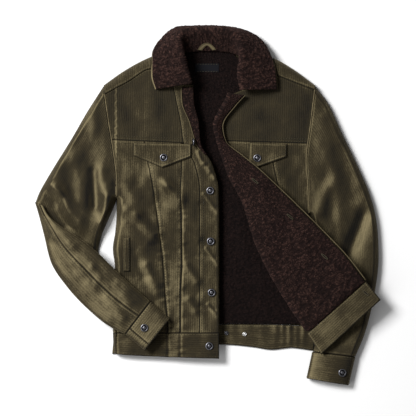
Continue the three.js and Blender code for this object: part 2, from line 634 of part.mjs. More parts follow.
/** A flattened tube between two edges: u = 0..0.5 over its top from the crease edge, then back. */
function flatTube(rows) {
  const keys = ["creaseX", "creaseY", "outX", "outY", "creaseZ", "outZ", "loft"];
  const get = Object.fromEntries(keys.map((key) => [key, column(rows, key, "at")]));
  return (u, v) => {
    const turn = u * 2 * Math.PI;
    const across = 0.5 - 0.5 * Math.cos(turn);
    const lift = Math.sin(turn);
    const power = lift > 0 ? 0.7 : 0.5;
    const base = mix(get.creaseZ(v), get.outZ(v), across);
    const z = base + get.loft(v) / 2 * (1 + Math.sign(lift) * Math.abs(lift) ** power);
    return vec(mix(get.creaseX(v), get.outX(v), across),
      mix(get.creaseY(v), get.outY(v), across), z);
  };
}
const seamTurn = Math.acos(1 - 2 * FOREARM_SEAM) / (2 * Math.PI);
const forearm = flatTube(FOREARM_ROWS);
piece("left_forearm_front", wall({ surface: forearm, u: [seamTurn - 0.45, seamTurn], nu: 8, nv: 11,
  side: -1, seams: [2, 2, 0, 1], floor: 0 }), CORDUROY);
piece("left_forearm_back", wall({ surface: forearm, u: [seamTurn, seamTurn + 0.55], nu: 9, nv: 11,
  side: -1, seams: [2, 2, 0, 1], floor: 0 }), CORDUROY);
piece("left_cuff", wall({ surface: flatTube(CUFF_L_ROWS), u: [CUFF_SLIT_L, CUFF_SLIT_L + 1], nu: 16,
  nv: 2, side: -1, thick: BAND, seams: [1, 1, 4, 0], floor: 0 }), CORDUROY);
piece("right_cuff", wall({ surface: flatTube(CUFF_R_ROWS), u: [CUFF_SLIT_R, CUFF_SLIT_R + 1],
  nu: 16,
  nv: 2, side: 1, thick: BAND, seams: [1, 1, 1, 0], floor: 0 }), CORDUROY);

// ---- back ----
const shareAt = (curve, y) => {
  const points = sampled(curve, 200);
  return points.findIndex((p) => p.y <= y) / 200;
};
const holeShareL = shareAt(armholeL, BACK_SEAM_Y);
const holeShareR = shareAt(armholeR, BACK_SEAM_Y);
const part = (curve, from, to, count) =>
  Array.from({ length: count + 1 }, (_, i) => curve(mix(from, to, i / count)));
const inset = (points, dx) => points.map((p) => p.add(vec(dx, 0)));
const NECK_BACK = line([[-60, 339], [-30, 334], [5, 332], [40, 334], [70, 339]]);
const yokeOutline = [
  ...inset(part(armholeL, holeShareL, 0, 4), SEAM),
  ...part(shoulderL, 0.02, 1, 8),
  ...part(NECK_BACK, 0.05, 0.95, 6),
  ...part(shoulderR, 1, 0.02, 8),
  ...inset(part(armholeR, 0, holeShareR, 4), -SEAM),
];
/** The yoke's strip over one shoulder, from the floor round the edge to the forward seam. */
function shoulderStrip(rim, reach, forward, height) {
  return (u, v) => {
    const edge = rim(mix(0.015, reach, v));
    if (u < 0.1) return vec(edge.x, edge.y, RIM_Z * u / 0.1);
    const across = (u - 0.1) / 0.9;
    const to = forward(v);
    const x = mix(edge.x, to.x, across);
    const y = mix(edge.y, to.y, across);
    return vec(x, y, height(x, y));
  };
}
const stripEase = (t) => (t < 1 / 7 ? t * 7 * 0.1 : 0.1 + 0.9 * towardsRim((t * 7 - 1) / 6));
const stripL = wall({ surface: shoulderStrip(shoulderL, 0.66, (t) => yokeL(0.62 * t, 0), heightL),
  nu: 7, nv: 5, ease: stripEase, seams: [0, 1, 2, 0], floor: 0 });
const stripR = wall({ surface: shoulderStrip(shoulderR, 0.60,
  (t) => rightFront(SHOULDER_PEAK * t, 0), heightR), nu: 7, nv: 5, side: -1, ease: stripEase,
seams: [0, 1, 2, 0], floor: 0 });
piece("back_yoke", joined([plate(yokeOutline, 0, CLOTH), stripL, stripR]), CORDUROY);

// The back hem hangs a little above the front one.
const BACK_WAIST = line([[-203, -272], [-90, -262], [29, -254], [130, -254], [226, -258]]);
const BACK_HEM = line([[-203, -318], [-90, -312], [29, -298], [95, -303], [140, -309], [180, -305],
  [226, -311]]);
const backOutline = [
  ...inset(part(armholeL, 1, holeShareL, 6), SEAM),
  ...inset(part(armholeR, holeShareR, 1, 6), -SEAM),
  ...sampled(sideR, 20).filter((p) => p.y > -257 && p.y < -24),
  ...sampled(BACK_WAIST, 10).reverse().map((p) => p.add(vec(0, SEAM))),
  ...sampled(sideL, 20).filter((p) => p.y > -270 && p.y < 12).reverse(),
];
const below = (p) => vec(p.x, Math.min(p.y, BACK_SEAM_Y - SEAM));
piece("back_panel", plate(backOutline.map(below), 0, CLOTH), CORDUROY);

/** A slab with a shaped top and a flat underside. */
function slab({ surface, zLow, nu, nv }) {
  const outer = [];
  const inner = [];
  for (let i = 0; i <= nu; i += 1) {
    for (let j = 0; j <= nv; j += 1) {
      const point = surface(i / nu, j / nv);
      outer.push(point);
      inner.push(vec(point.x, point.y, zLow));
    }
  }
  return closedWall(outer, inner, nu, nv);
}
const PUCKERS = [
  { x: 148, wide: 5, lift: 1.5 }, { x: 163, wide: 4, lift: 3 }, { x: 177, wide: 5, lift: 4 },
  { x: 192, wide: 4, lift: 3.5 }, { x: 205, wide: 4, lift: 3 },
];
piece("back_waistband", slab({ surface: (u, v) => {
  const at = u < 0.7 ? u / 0.7 * 0.8 : mix(0.8, 1, (u - 0.7) / 0.3);
  const top = BACK_WAIST(at);
  const low = BACK_HEM(at);
  const x = mix(top.x, low.x, v);
  const lift = PUCKERS.reduce((sum, p) => sum + p.lift * Math.exp(-(((x - p.x) / p.wide) ** 2)), 0);
  return vec(x, mix(top.y - SEAM, low.y, v), BAND + lift * (1 - 0.6 * v));
}, zLow: 0, nu: 24, nv: 2 }), CORDUROY);

const LINING_ROWS = [
  { y: 326, left: -52, right: 58 }, { y: 300, left: -78, right: 92 },
  { y: 240, left: -80, right: 120 }, { y: 150, left: -80, right: 150 },
  { y: 20, left: -70, right: 190 }, { y: -253, left: -70, right: 204 },
];
const liningLeft = column(LINING_ROWS, "left", "y");
const liningRight = column(LINING_ROWS, "right", "y");
const LINING_FOLDS = [
  { x1: 56, y1: 10, x2: 96, y2: -150, wide: 16, lift: 2.5 },
  { x1: 30, y1: 120, x2: 60, y2: -60, wide: 12, lift: -1 },
  { x1: 110, y1: -120, x2: 120, y2: -240, wide: 16, lift: 1.5 },
];
const liningTop = (x, y) => RIM_Z + PILE + LINING_FOLDS.reduce((sum, f) => {
  const t = clamp01((y - f.y1) / (f.y2 - f.y1));
  const off = (x - mix(f.x1, f.x2, t)) / f.wide;
  const ends = Math.sin(Math.PI * t);
  return sum + f.lift * Math.exp(-off * off) * ends;
}, 0);
piece("back_lining", slab({ surface: (u, v) => {
  const y = mix(326, -253, v);
  const x = mix(liningLeft(y), liningRight(y), u);
  return vec(x, y, liningTop(x, y));
}, zLow: RIM_Z, nu: 9, nv: 12 }), SHERPA);
const LABEL = { x: -1, y: 298.5, wide: 52, high: 19 };
piece("neck_label", slab({ surface: (u, v) => vec(LABEL.x + LABEL.wide * (u - 0.5),
  LABEL.y - LABEL.high * (v - 0.5), RIM_Z + PILE + LIE + 1),
zLow: RIM_Z + PILE + LIE, nu: 2, nv: 1 }),
LABEL_CLOTH);
for (const [name, x, y] of [["waist_stud_1", 80, -275], ["waist_stud_2", 41, -273]]) {
  const stud = new THREE.LatheGeometry([[0, 0], [4.7, 0], [4.7, 1], [2.6, 2.2], [0, 2.2]]
    .map(([r, h]) => new THREE.Vector2(r, h)), 10);
  stud.rotateX(Math.PI / 2).translate(x, y, BAND + SEAM);
  piece(name, stud, GUNMETAL);
}

// ---- collar ----
const collarColumn = Object.fromEntries(["neckX", "neckY", "neckZ", "rollX", "rollY", "rollZ",
  "fallX", "fallY", "fallZ"].map((key) => [key, column(COLLAR_ROWS, key, "at")]));
/** The collar's middle: up the stand (u = 0..1), over the roll and down the fall (u = 1..2). */
function collar(u, v) {
  const get = collarColumn;
  const neck = vec(get.neckX(v), get.neckY(v), get.neckZ(v));
  const roll = vec(get.rollX(v), get.rollY(v), get.rollZ(v));
  const fall = vec(get.fallX(v), get.fallY(v), get.fallZ(v));
  const rise = neck.clone().lerp(roll, 0.55);
  const drop = roll.clone().lerp(fall, 0.45);
  drop.z += 3;
  const curve = new THREE.CatmullRomCurve3([neck, rise, roll, drop, fall], false, "centripetal");
  return curve.getPoint(u / 2);
}
piece("collar", wall({ surface: collar, u: [0, 1.96], nu: 8, nv: 20, skin: PILE, thick: PILE,
  side: 1, seams: [0, 0, 0, 0] }), SHERPA);
piece("undercollar", wall({ surface: collar, u: [1.225, 2], nu: 3, nv: 20, skin: -0.8, thick: 1.6,
  side: 1, seams: [0, 0, 0, 0] }), CORDUROY_EDGE);

/** The hanger loop: a narrow tape arched over the stand, its ends in the neck seam. */
const LOOP = { from: 0.475, to: 0.545, high: 0.3, half: 0.06 };
piece("hanger_loop", wall({ surface: (u, v) => {
  const arch = Math.sin(Math.PI * mix(0.06, 0.94, v));
  const around = mix(LOOP.from, LOOP.to, v) + (u - 0.5) * 0.02 * Math.cos(Math.PI * v) * -1;
  return collar(0.04 + LOOP.high * arch + (u - 0.5) * 2 * LOOP.half * Math.max(arch, 0.3), around);
}, nu: 2, nv: 10, skin: PILE + LIE + 1.4, thick: 1.2, seams: [0, 0, 0, 0] }), CORDUROY_EDGE);

// ---- pocket welt, flaps and buttons ----
const WELT = { x: -173.5, top: -66, low: -140, half: 7 };
piece("left_pocket_welt", wall({ surface: (u, v) => {
  const x = mix(WELT.x - WELT.half, WELT.x + WELT.half, u);
  const y = mix(WELT.top, WELT.low, v);
  return vec(x, y, heightL(x, y));
}, nu: 3, nv: 4, skin: LIE + 1.6, thick: 1.6 }), CORDUROY);
for (const flap of FLAPS) {
  const height = flap.x < 0 ? heightL : heightR;
  const surface = (u, v) => {
    const across = mix(flap.from, flap.to, u);
    const depth = mix(FLAP_POINT, FLAP_SIDE, Math.abs(across) / FLAP_HALF) * v;
    const x = flap.x + across * Math.cos(flap.tilt) + depth * Math.sin(flap.tilt);
    const y = flap.y + across * Math.sin(flap.tilt) - depth * Math.cos(flap.tilt);
    return vec(x, y, height(x, y));
  };
  piece(`${flap.name}_pocket_flap`, wall({ surface, nu: 8, nv: 3, skin: LIE + FLAP_THICK,
    thick: FLAP_THICK, seams: [0, 0, 2, 0] }), CORDUROY);
}
/** A shank button: a rim, a hollow ring and a raised middle. */
function button(name, x, y, z, tilt = [0, 0]) {
  const profile = [[0, 0], [0.5, 0], [0.5, 2], [0.4, 3], [0.28, 2.2], [0, 3.2]]
    .map(([share, h]) => new THREE.Vector2(share * BUTTON_D, h));
  const geometry = new THREE.LatheGeometry(profile, 12);
  geometry.rotateX(Math.PI / 2).rotateX(tilt[0]).rotateY(tilt[1]).translate(x, y, z);
  piece(name, geometry, GUNMETAL);
}
for (const { name, x, y } of FRONT_BUTTONS) button(name, x, y, heightL(x, y) + LIE);
// The top button stands on edge beside the rolled edge, so only its side shows.
button("front_button_1", -29.4, 138, heightL(-31, 138) + LIE + 8.8, [0, -1.4]);
button("waist_button", 4, -300, heightL(4, -300) + LIE);
for (const [name, rows, u, v, tilt] of [["left_cuff_button", CUFF_L_ROWS, 0.273, 0.45, [0, 0]],
  ["right_cuff_button", CUFF_R_ROWS, 0.345, 0.6, [0, 0.16]]]) {
  const at = flatTube(rows)(u, v);
  button(name, at.x, at.y, at.z + 2 * LIE, tilt);
}
button("left_flap_button", -94, 105, heightL(-94, 105) + 2 * LIE + FLAP_THICK);
button("right_flap_button", 107, 104, heightR(107, 104) + 2 * LIE + FLAP_THICK);

// The origin is the middle of the whole outline, on the surface it lies on.
const middle = new THREE.Box3().setFromObject(jacket).getCenter(vec(0, 0));
jacket.children.forEach((mesh) => mesh.geometry.translate(-middle.x, -middle.y, 0));
export default jacket;
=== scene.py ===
"""A corduroy trucker jacket lined with sherpa, laid flat, round its CAD frame.

The frame gives every place; sizes in the tables below are millimetres, measured on the jacket from
its own middle lines, and left and right are the viewer's, looking down on it with the collar away.
"""
import math

import bpy
import numpy as np
from mathutils import Matrix, Vector


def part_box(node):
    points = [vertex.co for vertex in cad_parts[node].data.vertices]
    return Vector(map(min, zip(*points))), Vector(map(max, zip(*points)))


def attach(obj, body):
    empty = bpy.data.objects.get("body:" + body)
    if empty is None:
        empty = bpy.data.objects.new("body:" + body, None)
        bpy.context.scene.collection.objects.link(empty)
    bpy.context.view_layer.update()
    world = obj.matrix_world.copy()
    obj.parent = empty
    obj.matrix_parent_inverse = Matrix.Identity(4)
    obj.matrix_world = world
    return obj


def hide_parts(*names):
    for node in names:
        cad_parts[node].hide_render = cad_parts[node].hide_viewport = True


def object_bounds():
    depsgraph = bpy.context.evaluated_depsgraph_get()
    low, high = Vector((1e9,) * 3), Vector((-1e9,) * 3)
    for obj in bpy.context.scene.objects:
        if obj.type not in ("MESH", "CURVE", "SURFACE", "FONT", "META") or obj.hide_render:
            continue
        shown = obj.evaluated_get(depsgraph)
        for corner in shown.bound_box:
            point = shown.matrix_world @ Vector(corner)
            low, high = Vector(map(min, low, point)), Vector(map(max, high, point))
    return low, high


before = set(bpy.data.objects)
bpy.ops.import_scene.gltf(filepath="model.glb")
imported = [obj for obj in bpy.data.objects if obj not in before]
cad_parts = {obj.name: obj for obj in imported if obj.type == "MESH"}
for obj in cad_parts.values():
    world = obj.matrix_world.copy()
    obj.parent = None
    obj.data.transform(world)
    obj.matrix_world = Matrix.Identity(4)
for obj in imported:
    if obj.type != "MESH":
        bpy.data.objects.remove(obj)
CAD_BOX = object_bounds()

bl_info = {
    "name": "Sherpa Lined Jacket",
    "version": (1, 0, 0),
    "blender": (4, 5, 0),
    "location": "3D View > Sidebar > Jacket",
    "description": "Builds the cloth, thread, buttons and stage of a corduroy jacket",
    "category": "Object",
}

# ---- sizes shared by the pieces ----
CLOTH = 2.0            # corduroy wall
PILE = 4.0             # sherpa wall, backing and pile
BAND = 4.0             # waistband and cuff wall
SEAM = 0.3             # gap between sewn pieces
LIE = 0.5              # gap under a piece that lies on another
EDGE_ROUND = 12.0      # how far in from an edge the top layer rounds over
BODY_LOFT = 22.0       # height of the body's top layer over its rim
SLEEVE_LOFT = 21.0     # the same over the sleeves
CREASE_LOFT = 7.5      # the same along the crease where the left forearm folds
RIM_Z = CLOTH + SEAM   # height of the top layer's rim
RIM_SLACK = 0.4        # how far in from a side edge the top layer starts to rise
LINING_GAP = 0.9       # gap between the corduroy and its lining
LINING_OUT = CLOTH + LINING_GAP + PILE
BINDING_CELL = 1.0     # mesh cell of the narrow edges and the label
BORDER_CELL = 0.45     # the first and last cells of a grid, as a share of the others
BORDER_REACH = 60      # how far in from a border the materials still measure it
BAND_UNDER = 2.3       # how far the left waistband's underside stands over the back's rim
LABEL_OVER = 2.3       # how far the label stands over the lining's backing
PAINTED_LIGHT_WAY = (-0.85, 0.42)   # the way toward the light across the jacket: cloth that tilts this way is painted paler, and cloth that tilts away painted darker
PAINTED_LIGHT_MOST = 0.3         # the most that this painted light and shade counts
LABEL_AT = (-1.0, 298.5)  # the label's middle in the tables' own coordinates
LABEL_SIZE = (52, 19)
MM = 0.001


def table(names, rows):
    """A table of numbers as one array for each named column."""
    return dict(zip(names.split(), np.array(rows, float).T))


# ---- outlines, each row a corner of a smooth line ----
ARMHOLE_L = [(-225, 258), (-214, 182), (-204, 120), (-197, 64), (-196, 14)]
ARMHOLE_R = [(233, 258), (223, 176), (214, 104), (217, 52), (221, -22)]
SHOULDER_L = [(-225, 258), (-175, 293), (-121, 321), (-60, 340)]
SHOULDER_R = [(233, 258), (190, 290), (140, 319), (70, 340)]
SIDE_L = [(-196, 14), (-196, -19), (-199, -55), (-204, -90), (-200, -131), (-203, -200),
          (-204, -265), (-201, -330)]
SIDE_R = [(221, -22), (224, -100), (226, -200), (227, -318)]
SLEEVE_OUT_L = [(-225, 258), (-260, 203), (-293, 146), (-329, 88), (-362, 31), (-371, 8)]
SLEEVE_IN_L = [(-196, 14), (-206, -10), (-217, -35), (-228, -62), (-236, -98), (-238, -128)]
SLEEVE_OUT_R = [(233, 258), (260, 222), (288, 162), (322, 91), (351, 23), (364, -30), (369, -101),
                (367, -142), (354, -219), (338, -277), (319, -323)]
SLEEVE_IN_R = [(221, -22), (229, -60), (237, -120), (240, -180), (240, -240), (236, -285), (227, -312)]
NECK_BACK = [(-60, 339), (-30, 334), (5, 332), (40, 334), (70, 339)]
BACK_WAIST = [(-203, -272), (-90, -262), (29, -254), (130, -254), (226, -258)]
BACK_HEM = [(-203, -318), (-90, -312), (29, -298), (95, -303), (140, -309), (180, -305), (226, -311)]

LEFT_ROWS = table("y seam_a seam_b placket edge roll", [
    (262, -168, -82, -74, -31, 21), (223, -156, -76, -66, -29, 21), (180, -145, -64, -57, -19, 15),
    (137, -134, -56, -51, -15, 6), (89, -126, -55, -26, 11, 0), (35, -116, -57, -16, 24, 0),
    (-20, -108, -56, -16, 25, 0), (-115, -96, -55, -16, 25, 0), (-200, -90, -58, -16, 25, 0),
    (-272, -85, -58, -16, 25, 0), (-327, -84, -58, -16, 25, 0)])
RIGHT_ROWS = table("at side_y fold_x fold_y free_x free_y up rise bow", [
    (0.00, 250, 46, 246, 79, 239, 4, 3, 35), (0.08, 212, 33, 220, 57, 215, 3, 2, 19),
    (0.17, 166, 13, 174, 31, 172, 2, 1, 3), (0.23, 138, 20, 142, 40, 137, 2, 1, 0),
    (0.31, 99, 33, 99, 74, 108, 4, 5, 0), (0.38, 60, 47, 62, 104, 84, 5, 7, 0),
    (0.48, 12, 74, 12, 142, 49, 6, 8, 0), (0.62, -76, 102, -76, 196, -3, 7, 8, 0),
    (0.75, -150, 137, -150, 253, -60, 8, 10, 0), (0.87, -214, 176, -214, 300, -110, 8, 12, 0),
    (1.00, -262, 212, -268, 336, -157, 8, 14, 0)])
TUBE_NAMES = "at crease_x crease_y out_x out_y crease_z out_z loft"
FOREARM_ROWS = table(TUBE_NAMES, [
    (0.00, -354, 3, -371.5, 9, 14, 8, 6), (0.10, -340, -21, -363, -20, 16, 3, 11),
    (0.22, -318, -40, -352, -62, 17, 0, 18), (0.38, -284, -62, -337, -120, 18, 0, 22),
    (0.55, -239, -96, -300, -176, 20, 1, 23), (0.70, -200, -134, -256, -222, 21, 5, 22),
    (0.86, -159, -172, -213, -256, 22, 17, 21), (1.00, -123, -204, -177, -274, 22, 20.8, 20)])
CUFF_L_ROWS = table(TUBE_NAMES, [
    (0, -123, -204, -177, -274, 22, 20.8, 21), (1, -81, -241, -135, -308, 23, 22.8, 26)])
CUFF_R_ROWS = table(TUBE_NAMES, [
    (0, 225.5, -312.6, 318.5, -323.5, 0, 0, 20), (1, 213, -370, 304, -385, 0, 0, 22)])
FOREARM_SEAM = 0.44
COLLAR_ROWS = table("at neck_x neck_y neck_z roll_x roll_y roll_z fall_x fall_y fall_z", [
    (0.00, -50, 262, 27, -36, 263, 40, -113, 251, 28), (0.12, -58, 292, 24, -44, 292, 44, -121, 282, 28),
    (0.24, -62, 318, 17, -53, 325, 46, -120, 328, 22), (0.34, -56, 330, 11, -60, 358, 42, -98, 362, 8),
    (0.42, -38, 334, 8, -45, 376, 36, -62, 384, 6), (0.52, 4, 336, 8, 2, 378, 34, 2, 386, 5),
    (0.62, 44, 334, 8, 50, 372, 36, 66, 381, 6), (0.72, 66, 328, 11, 70, 350, 42, 116, 358, 8),
    (0.80, 82, 316, 17, 73, 322, 46, 138, 324, 20), (0.90, 84, 286, 24, 68, 284, 44, 149, 286, 28),
    (1.00, 96, 254, 31, 74, 250, 42, 152, 251, 28)])
YOKE_ROWS_L = table("at top_x top_y low_x", [
    (0, -223, 241, -207), (0.3, -172, 268, -160), (0.62, -121, 296, -110), (0.82, -92, 280, -77),
    (1, -74, 262, -51)])
LINING_ROWS = table("y left right", [
    (326, -52, 58), (300, -78, 92), (240, -80, 120), (150, -80, 150), (20, -70, 190), (-253, -70, 204)])
BAND_TURN = table("at top_x top_y low_x low_y", [
    (0, 214, -273, 244, -318), (1, 339, -160, 371, -200)])

# ---- folds: a soft ridge (lift over 0) or trough from one point to another ----
FOLD_NAMES = "x1 y1 x2 y2 wide lift"
CAD_FOLDS_L = table(FOLD_NAMES, [
    (-330, 40, -278, -30, 16, 4), (-216, 20, -222, -32, 9, 3), (-245, 75, -243, 0, 11, -4),
    (-90, 52, -60, 8, 13, 3), (-175, -10, -115, -62, 12, 3)])
CAD_FOLDS_R = table(FOLD_NAMES, [(300, -110, 336, -20, 14, -5), (258, 40, 240, -10, 14, 3)])
FOLDS_L = table(FOLD_NAMES, [
    (-117, 74, -86, 44, 12.6, 2.9), (-86, 44, -56, 22, 11.2, 3.2), (-150, 44, -104, 2, 18.2, -2.3),
    (-182, 6, -150, -16, 11.2, 3.1), (-150, -16, -118, -60, 11.2, 2.3),
    (-176, -40, -132, -76, 11.2, 2.2), (-132, -128, -106, -182, 11.2, 3.1),
    (-158, -96, -136, -150, 11.2, -1.6), (-46, -52, -20, -68, 8.4, 2.7),
    (-44, -128, -22, -160, 8.4, 2.9), (-40, -200, -26, -224, 8.4, 2.5),
    (-44, -88, -24, -100, 9.8, -1.8), (-44, -178, -24, -188, 9.8, -1.6), (-7, 27, 23, -16, 4, 1.6),
    (-3, -89, 27, -132, 3, 1.7), (1, -210, 27, -244, 3, 1.7), (-14, 6, 18, -4, 5, -1.4),
    (-14, -104, 16, -112, 5, -1.4), (-14, -214, 16, -222, 5, -1.4), (-6, 92, 4, 74, 4, 2.2),
    (4, 84, 16, 60, 4, 2.2), (-20, 116, -10, 92, 4, 1.6), (-192, 44, -176, 10, 12.6, -2),
    (-168, -196, -150, -250, 16.8, -1.8), (-104, 10, -70, -12, 14, -2.2),
    (-98, -36, -62, -50, 11.2, 1.6), (-102, -86, -66, -96, 11.2, -1.4),
    (-190, 246, -150, 170, 22.4, -1.6), (-120, 240, -100, 160, 19.6, 1.4),
    (-352, 66, -318, 34, 15.4, 2.9), (-322, 40, -300, -14, 15.4, 2.9),
    (-308, 0, -272, -44, 16.8, 2.3), (-347, 38, -322, 10, 12.6, -2.2),
    (-322, 10, -306, -38, 14, -2.3), (-230, 76, -216, 26, 15.4, 2.5),
    (-216, 34, -226, -30, 14, 2.5), (-256, 118, -244, 4, 19.6, -2.7),
    (-278, 96, -264, -16, 21, 1.4), (-298, 76, -282, 0, 16.8, -1.6),
    (-248, 226, -240, 170, 14, 1.8), (-300, 122, -262, 150, 16.8, -1.6),
    (-318, 84, -296, 112, 16.8, 1.4)])
FOLDS_R = table(FOLD_NAMES, [
    (307, -120, 334, -24, 19.2, -1.3), (269, -82, 307, -120, 15.2, -1.2),
    (262, -60, 300, -98, 15.2, 1.2), (330, -140, 348, -30, 24.8, 0.6),
    (250, 190, 262, 100, 16.5, 1.4), (290, 120, 312, 20, 16.5, -1.6),
    (254, 60, 268, -20, 16.5, -1.2), (272, 80, 284, -20, 13.8, 1.3),
    (330, -150, 352, -240, 12.3, 1.1), (300, -170, 322, -260, 16.5, -1.3),
    (280, -140, 292, -200, 13.8, 1.1), (236, 230, 262, 190, 13.8, -0.9),
    (60, 214, 100, 200, 16.5, 1.3), (120, 230, 150, 180, 22, -1.1), (180, 240, 196, 160, 19.2, 0.9),
    (180, 100, 200, 20, 19.2, -1.2), (150, 96, 170, 40, 16.5, 0.9)])
FOLDS_TURNED = table(FOLD_NAMES, [
    (96, 20, 150, -80, 18, 1.6), (150, -80, 232, -200, 16, -1.6), (130, 30, 190, -50, 12, -1.2),
    (190, -60, 290, -150, 14, 1.4)])
FOLDS_FOREARM = table(FOLD_NAMES, [
    (-336, -38, -290, -84, 11, 2.2), (-330, -78, -286, -134, 11, -1.8), (-296, -80, -246, -128, 10, 1.6),
    (-286, -120, -240, -168, 9, 1.5), (-268, -134, -246, -156, 7, -1.1), (-248, -130, -212, -170, 8, 1.4),
    (-256, -168, -216, -212, 10, 1.4), (-222, -160, -186, -204, 9, -1.3), (-216, -196, -180, -236, 9, 1.4),
    (-196, -170, -164, -204, 9, 1.3), (-320, -130, -266, -186, 10, 1.4)])
FOLDS_LINING = table(FOLD_NAMES, [
    (56, 10, 96, -150, 16, 2.5), (30, 120, 60, -60, 12, -1), (110, -120, 120, -240, 16, 1.5)])
PUCKERS = table("x wide lift", [
    (118, 7, 0.8), (148, 5, 1.5), (163, 4, 2.2), (177, 5, 3), (192, 4, 2.2), (205, 5, 2.6)])

CHEST = (-197, 143, -22, 135)      # the left yoke's lower seam, from x, y to x, y
CHEST_Y = 140.0        # where the panels' sides are taken to meet that seam
ARMHOLE_X = -197       # where the left half's loft goes from sleeve to body
ARMPIT_L, ARMPIT_R = 14.0, -22.0
WAIST_L = -272.0
HEM_L = -324.0
PLACKET_TOP = 262.0
CENTRE_SHARE = 5 / 18  # how far down the placket the centre panel begins
YOKE_LOW = 165.0       # the back yoke's lower seam
YOKE_AT = 0.235        # the right yoke's lower seam, along the right front's v
SEAM_A_R = 0.42        # the right front's seams, along its u
SEAM_B_R = 2.72
SHOULDER_PEAK = 0.45
ROLL_R = 3.2           # radius of the left placket's turned edge
FLAP_HALF = 62.0
FLAP_SIDE = 28.0
FLAP_POINT = 53.0
FLAP_CURL = 1.6        # how far a flap's free edge stands off the cloth
FLAPS = {"left": (-96.5, 136, -0.02, -FLAP_HALF, FLAP_HALF), "right": (109, 137, -0.04, -18, FLAP_HALF)}


# ---- property groups ----
def length(name, description, default):
    """A size in metres as a property."""
    return bpy.props.FloatProperty(name=name, description=description, default=default, min=0.0,
                                   max=1.0, precision=5, unit="LENGTH", subtype="DISTANCE")


def linear(code):
    """An sRGB hex colour as linear red, green, blue and alpha."""
    code = code.lstrip("#")
    channel = [int(code[i:i + 2], 16) / 255 for i in (0, 2, 4)]
    return tuple(c / 12.92 if c <= 0.04045 else ((c + 0.055) / 1.055) ** 2.4 for c in channel) + (1.0,)


def colour(name, description, code):
    """A colour property whose default is an sRGB hex value."""
    return bpy.props.FloatVectorProperty(name=name, description=description, default=linear(code),
                                         size=4, min=0.0, max=1.0, subtype="COLOR")


class JACKET_PG_sizes(bpy.types.PropertyGroup):
    """Sizes of the cloth's own detail"""
    cell: length("Cloth cell", "Size of the mesh cells on corduroy", 0.0027)
    pile_cell: length("Pile cell", "Size of the mesh cells on sherpa", 0.0017)
    wale: length("Wale pitch", "Distance from one wale to the next", 0.0046)
    wale_height: length("Wale height", "How far a wale stands over its groove", 0.0005)
    nub: length("Nub width", "Width of one curl of sherpa", 0.0040)
    nub_height: length("Nub height", "How far a curl stands over the pile", 0.0024)
    stitch: length("Stitch length", "Length of one stitch", 0.0042)
    stitch_gap: length("Stitch gap", "Gap between two stitches", 0.0016)
    thread: length("Thread radius", "Half the thickness of the sewing thread", 0.0006)
    button: length("Button width", "Diameter of a shank button", 0.017)


class JACKET_PG_colours(bpy.types.PropertyGroup):
    """Colours of the jacket's materials"""
    # the corduroy's dark and light colours also take its painted shade and painted light
    nap_dark: colour("Nap dark", "Corduroy in its grooves and folds", "#0C0A06")
    nap_mid: colour("Nap middle", "Corduroy at large", "#302918")
    nap_light: colour("Nap light", "Corduroy where the nap is pressed or worn", "#867A5A")
    edge_tone: colour("Edge", "Corduroy rubbed at folded edges", "#554B36")
    thread_tone: colour("Thread", "Sewing thread", "#403A29")
    # the pile's dark and tip colours also take the painted shade between the curls and the painted
    # highlight on their tips
    pile_dark: colour("Pile dark", "Sherpa between its curls", "#070404")
    pile_mid: colour("Pile middle", "Sherpa at large", "#1B110F")
    pile_tip: colour("Pile tips", "Tips of the curls", "#4A342D")
    metal: colour("Gunmetal", "Plated steel of the buttons", "#7C7C82")
    label: colour("Label", "Woven satin label", "#0C0D12")
    floor: colour("Paper", "Paper under the jacket", "#F4F4F4")


# ---- small maths on whole arrays ----
def mix(a, b, t):
    return a + (b - a) * t


def clamp(t):
    return np.clip(t, 0.0, 1.0)


def bump(d):
    return np.exp(-d * d)


def noise(x, y, seed=0):
    """Smooth noise from -1 to 1 on a unit lattice, the same in every run."""
    ix, iy = np.floor(x), np.floor(y)
    fx, fy = x - ix, y - iy
    sx, sy = fx * fx * (3 - 2 * fx), fy * fy * (3 - 2 * fy)

    def corner(a, b):
        h = np.sin((ix + a) * 127.1 + (iy + b) * 311.7 + seed * 74.7) * 43758.5453
        return (h - np.floor(h)) * 2 - 1

    return mix(mix(corner(0, 0), corner(1, 0), sx), mix(corner(0, 1), corner(1, 1), sx), sy)


def curls(x, y, size, seed=0):
    """Rounded curls of pile from 0 to 1: the highest of the domes about scattered middles."""
    x, y = x / size, y / size
    ix, iy = np.floor(x), np.floor(y)
    best = np.zeros_like(x)
    for a in (-1, 0, 1):
        for b in (-1, 0, 1):
            h = np.sin((ix + a) * 127.1 + (iy + b) * 311.7 + seed * 74.7) * 43758.5453
            k = np.sin((ix + a) * 269.5 + (iy + b) * 183.3 + seed * 74.7) * 24634.6345
            h, k = h - np.floor(h), k - np.floor(k)
            d = np.hypot(x - ix - a - h, y - iy - b - k)
            tall = 0.65 + 0.35 * np.sin(17 * h + 31 * k)
            best = np.maximum(best, tall * np.sqrt(np.clip(1 - (d / 0.78) ** 2, 0, 1)))
    return best


def column(rows, key, along):
    """A smooth column of a table as a function, without overshoot."""
    order = np.argsort(rows[along])
    x, y = rows[along][order], rows[key][order]
    slope = np.diff(y) / np.diff(x)
    both = slope[:-1] + slope[1:]
    inner = np.where(slope[:-1] * slope[1:] <= 0, 0,
                     2 * slope[:-1] * slope[1:] / np.where(both == 0, 1, both))
    tangent = np.concatenate([slope[:1], inner, slope[-1:]])

    def at(q):
        q = np.asarray(q, float)
        i = np.clip(np.searchsorted(x, q) - 1, 0, len(x) - 2)
        span = x[i + 1] - x[i]
        t = clamp((q - x[i]) / span)
        return (y[i] * (2 * t ** 3 - 3 * t ** 2 + 1) + tangent[i] * span * (t ** 3 - 2 * t ** 2 + t)
                + y[i + 1] * (3 * t ** 2 - 2 * t ** 3) + tangent[i + 1] * span * (t ** 3 - t ** 2))
    return at


def columns(rows, along):
    return {key: column(rows, key, along) for key in rows if key != along}


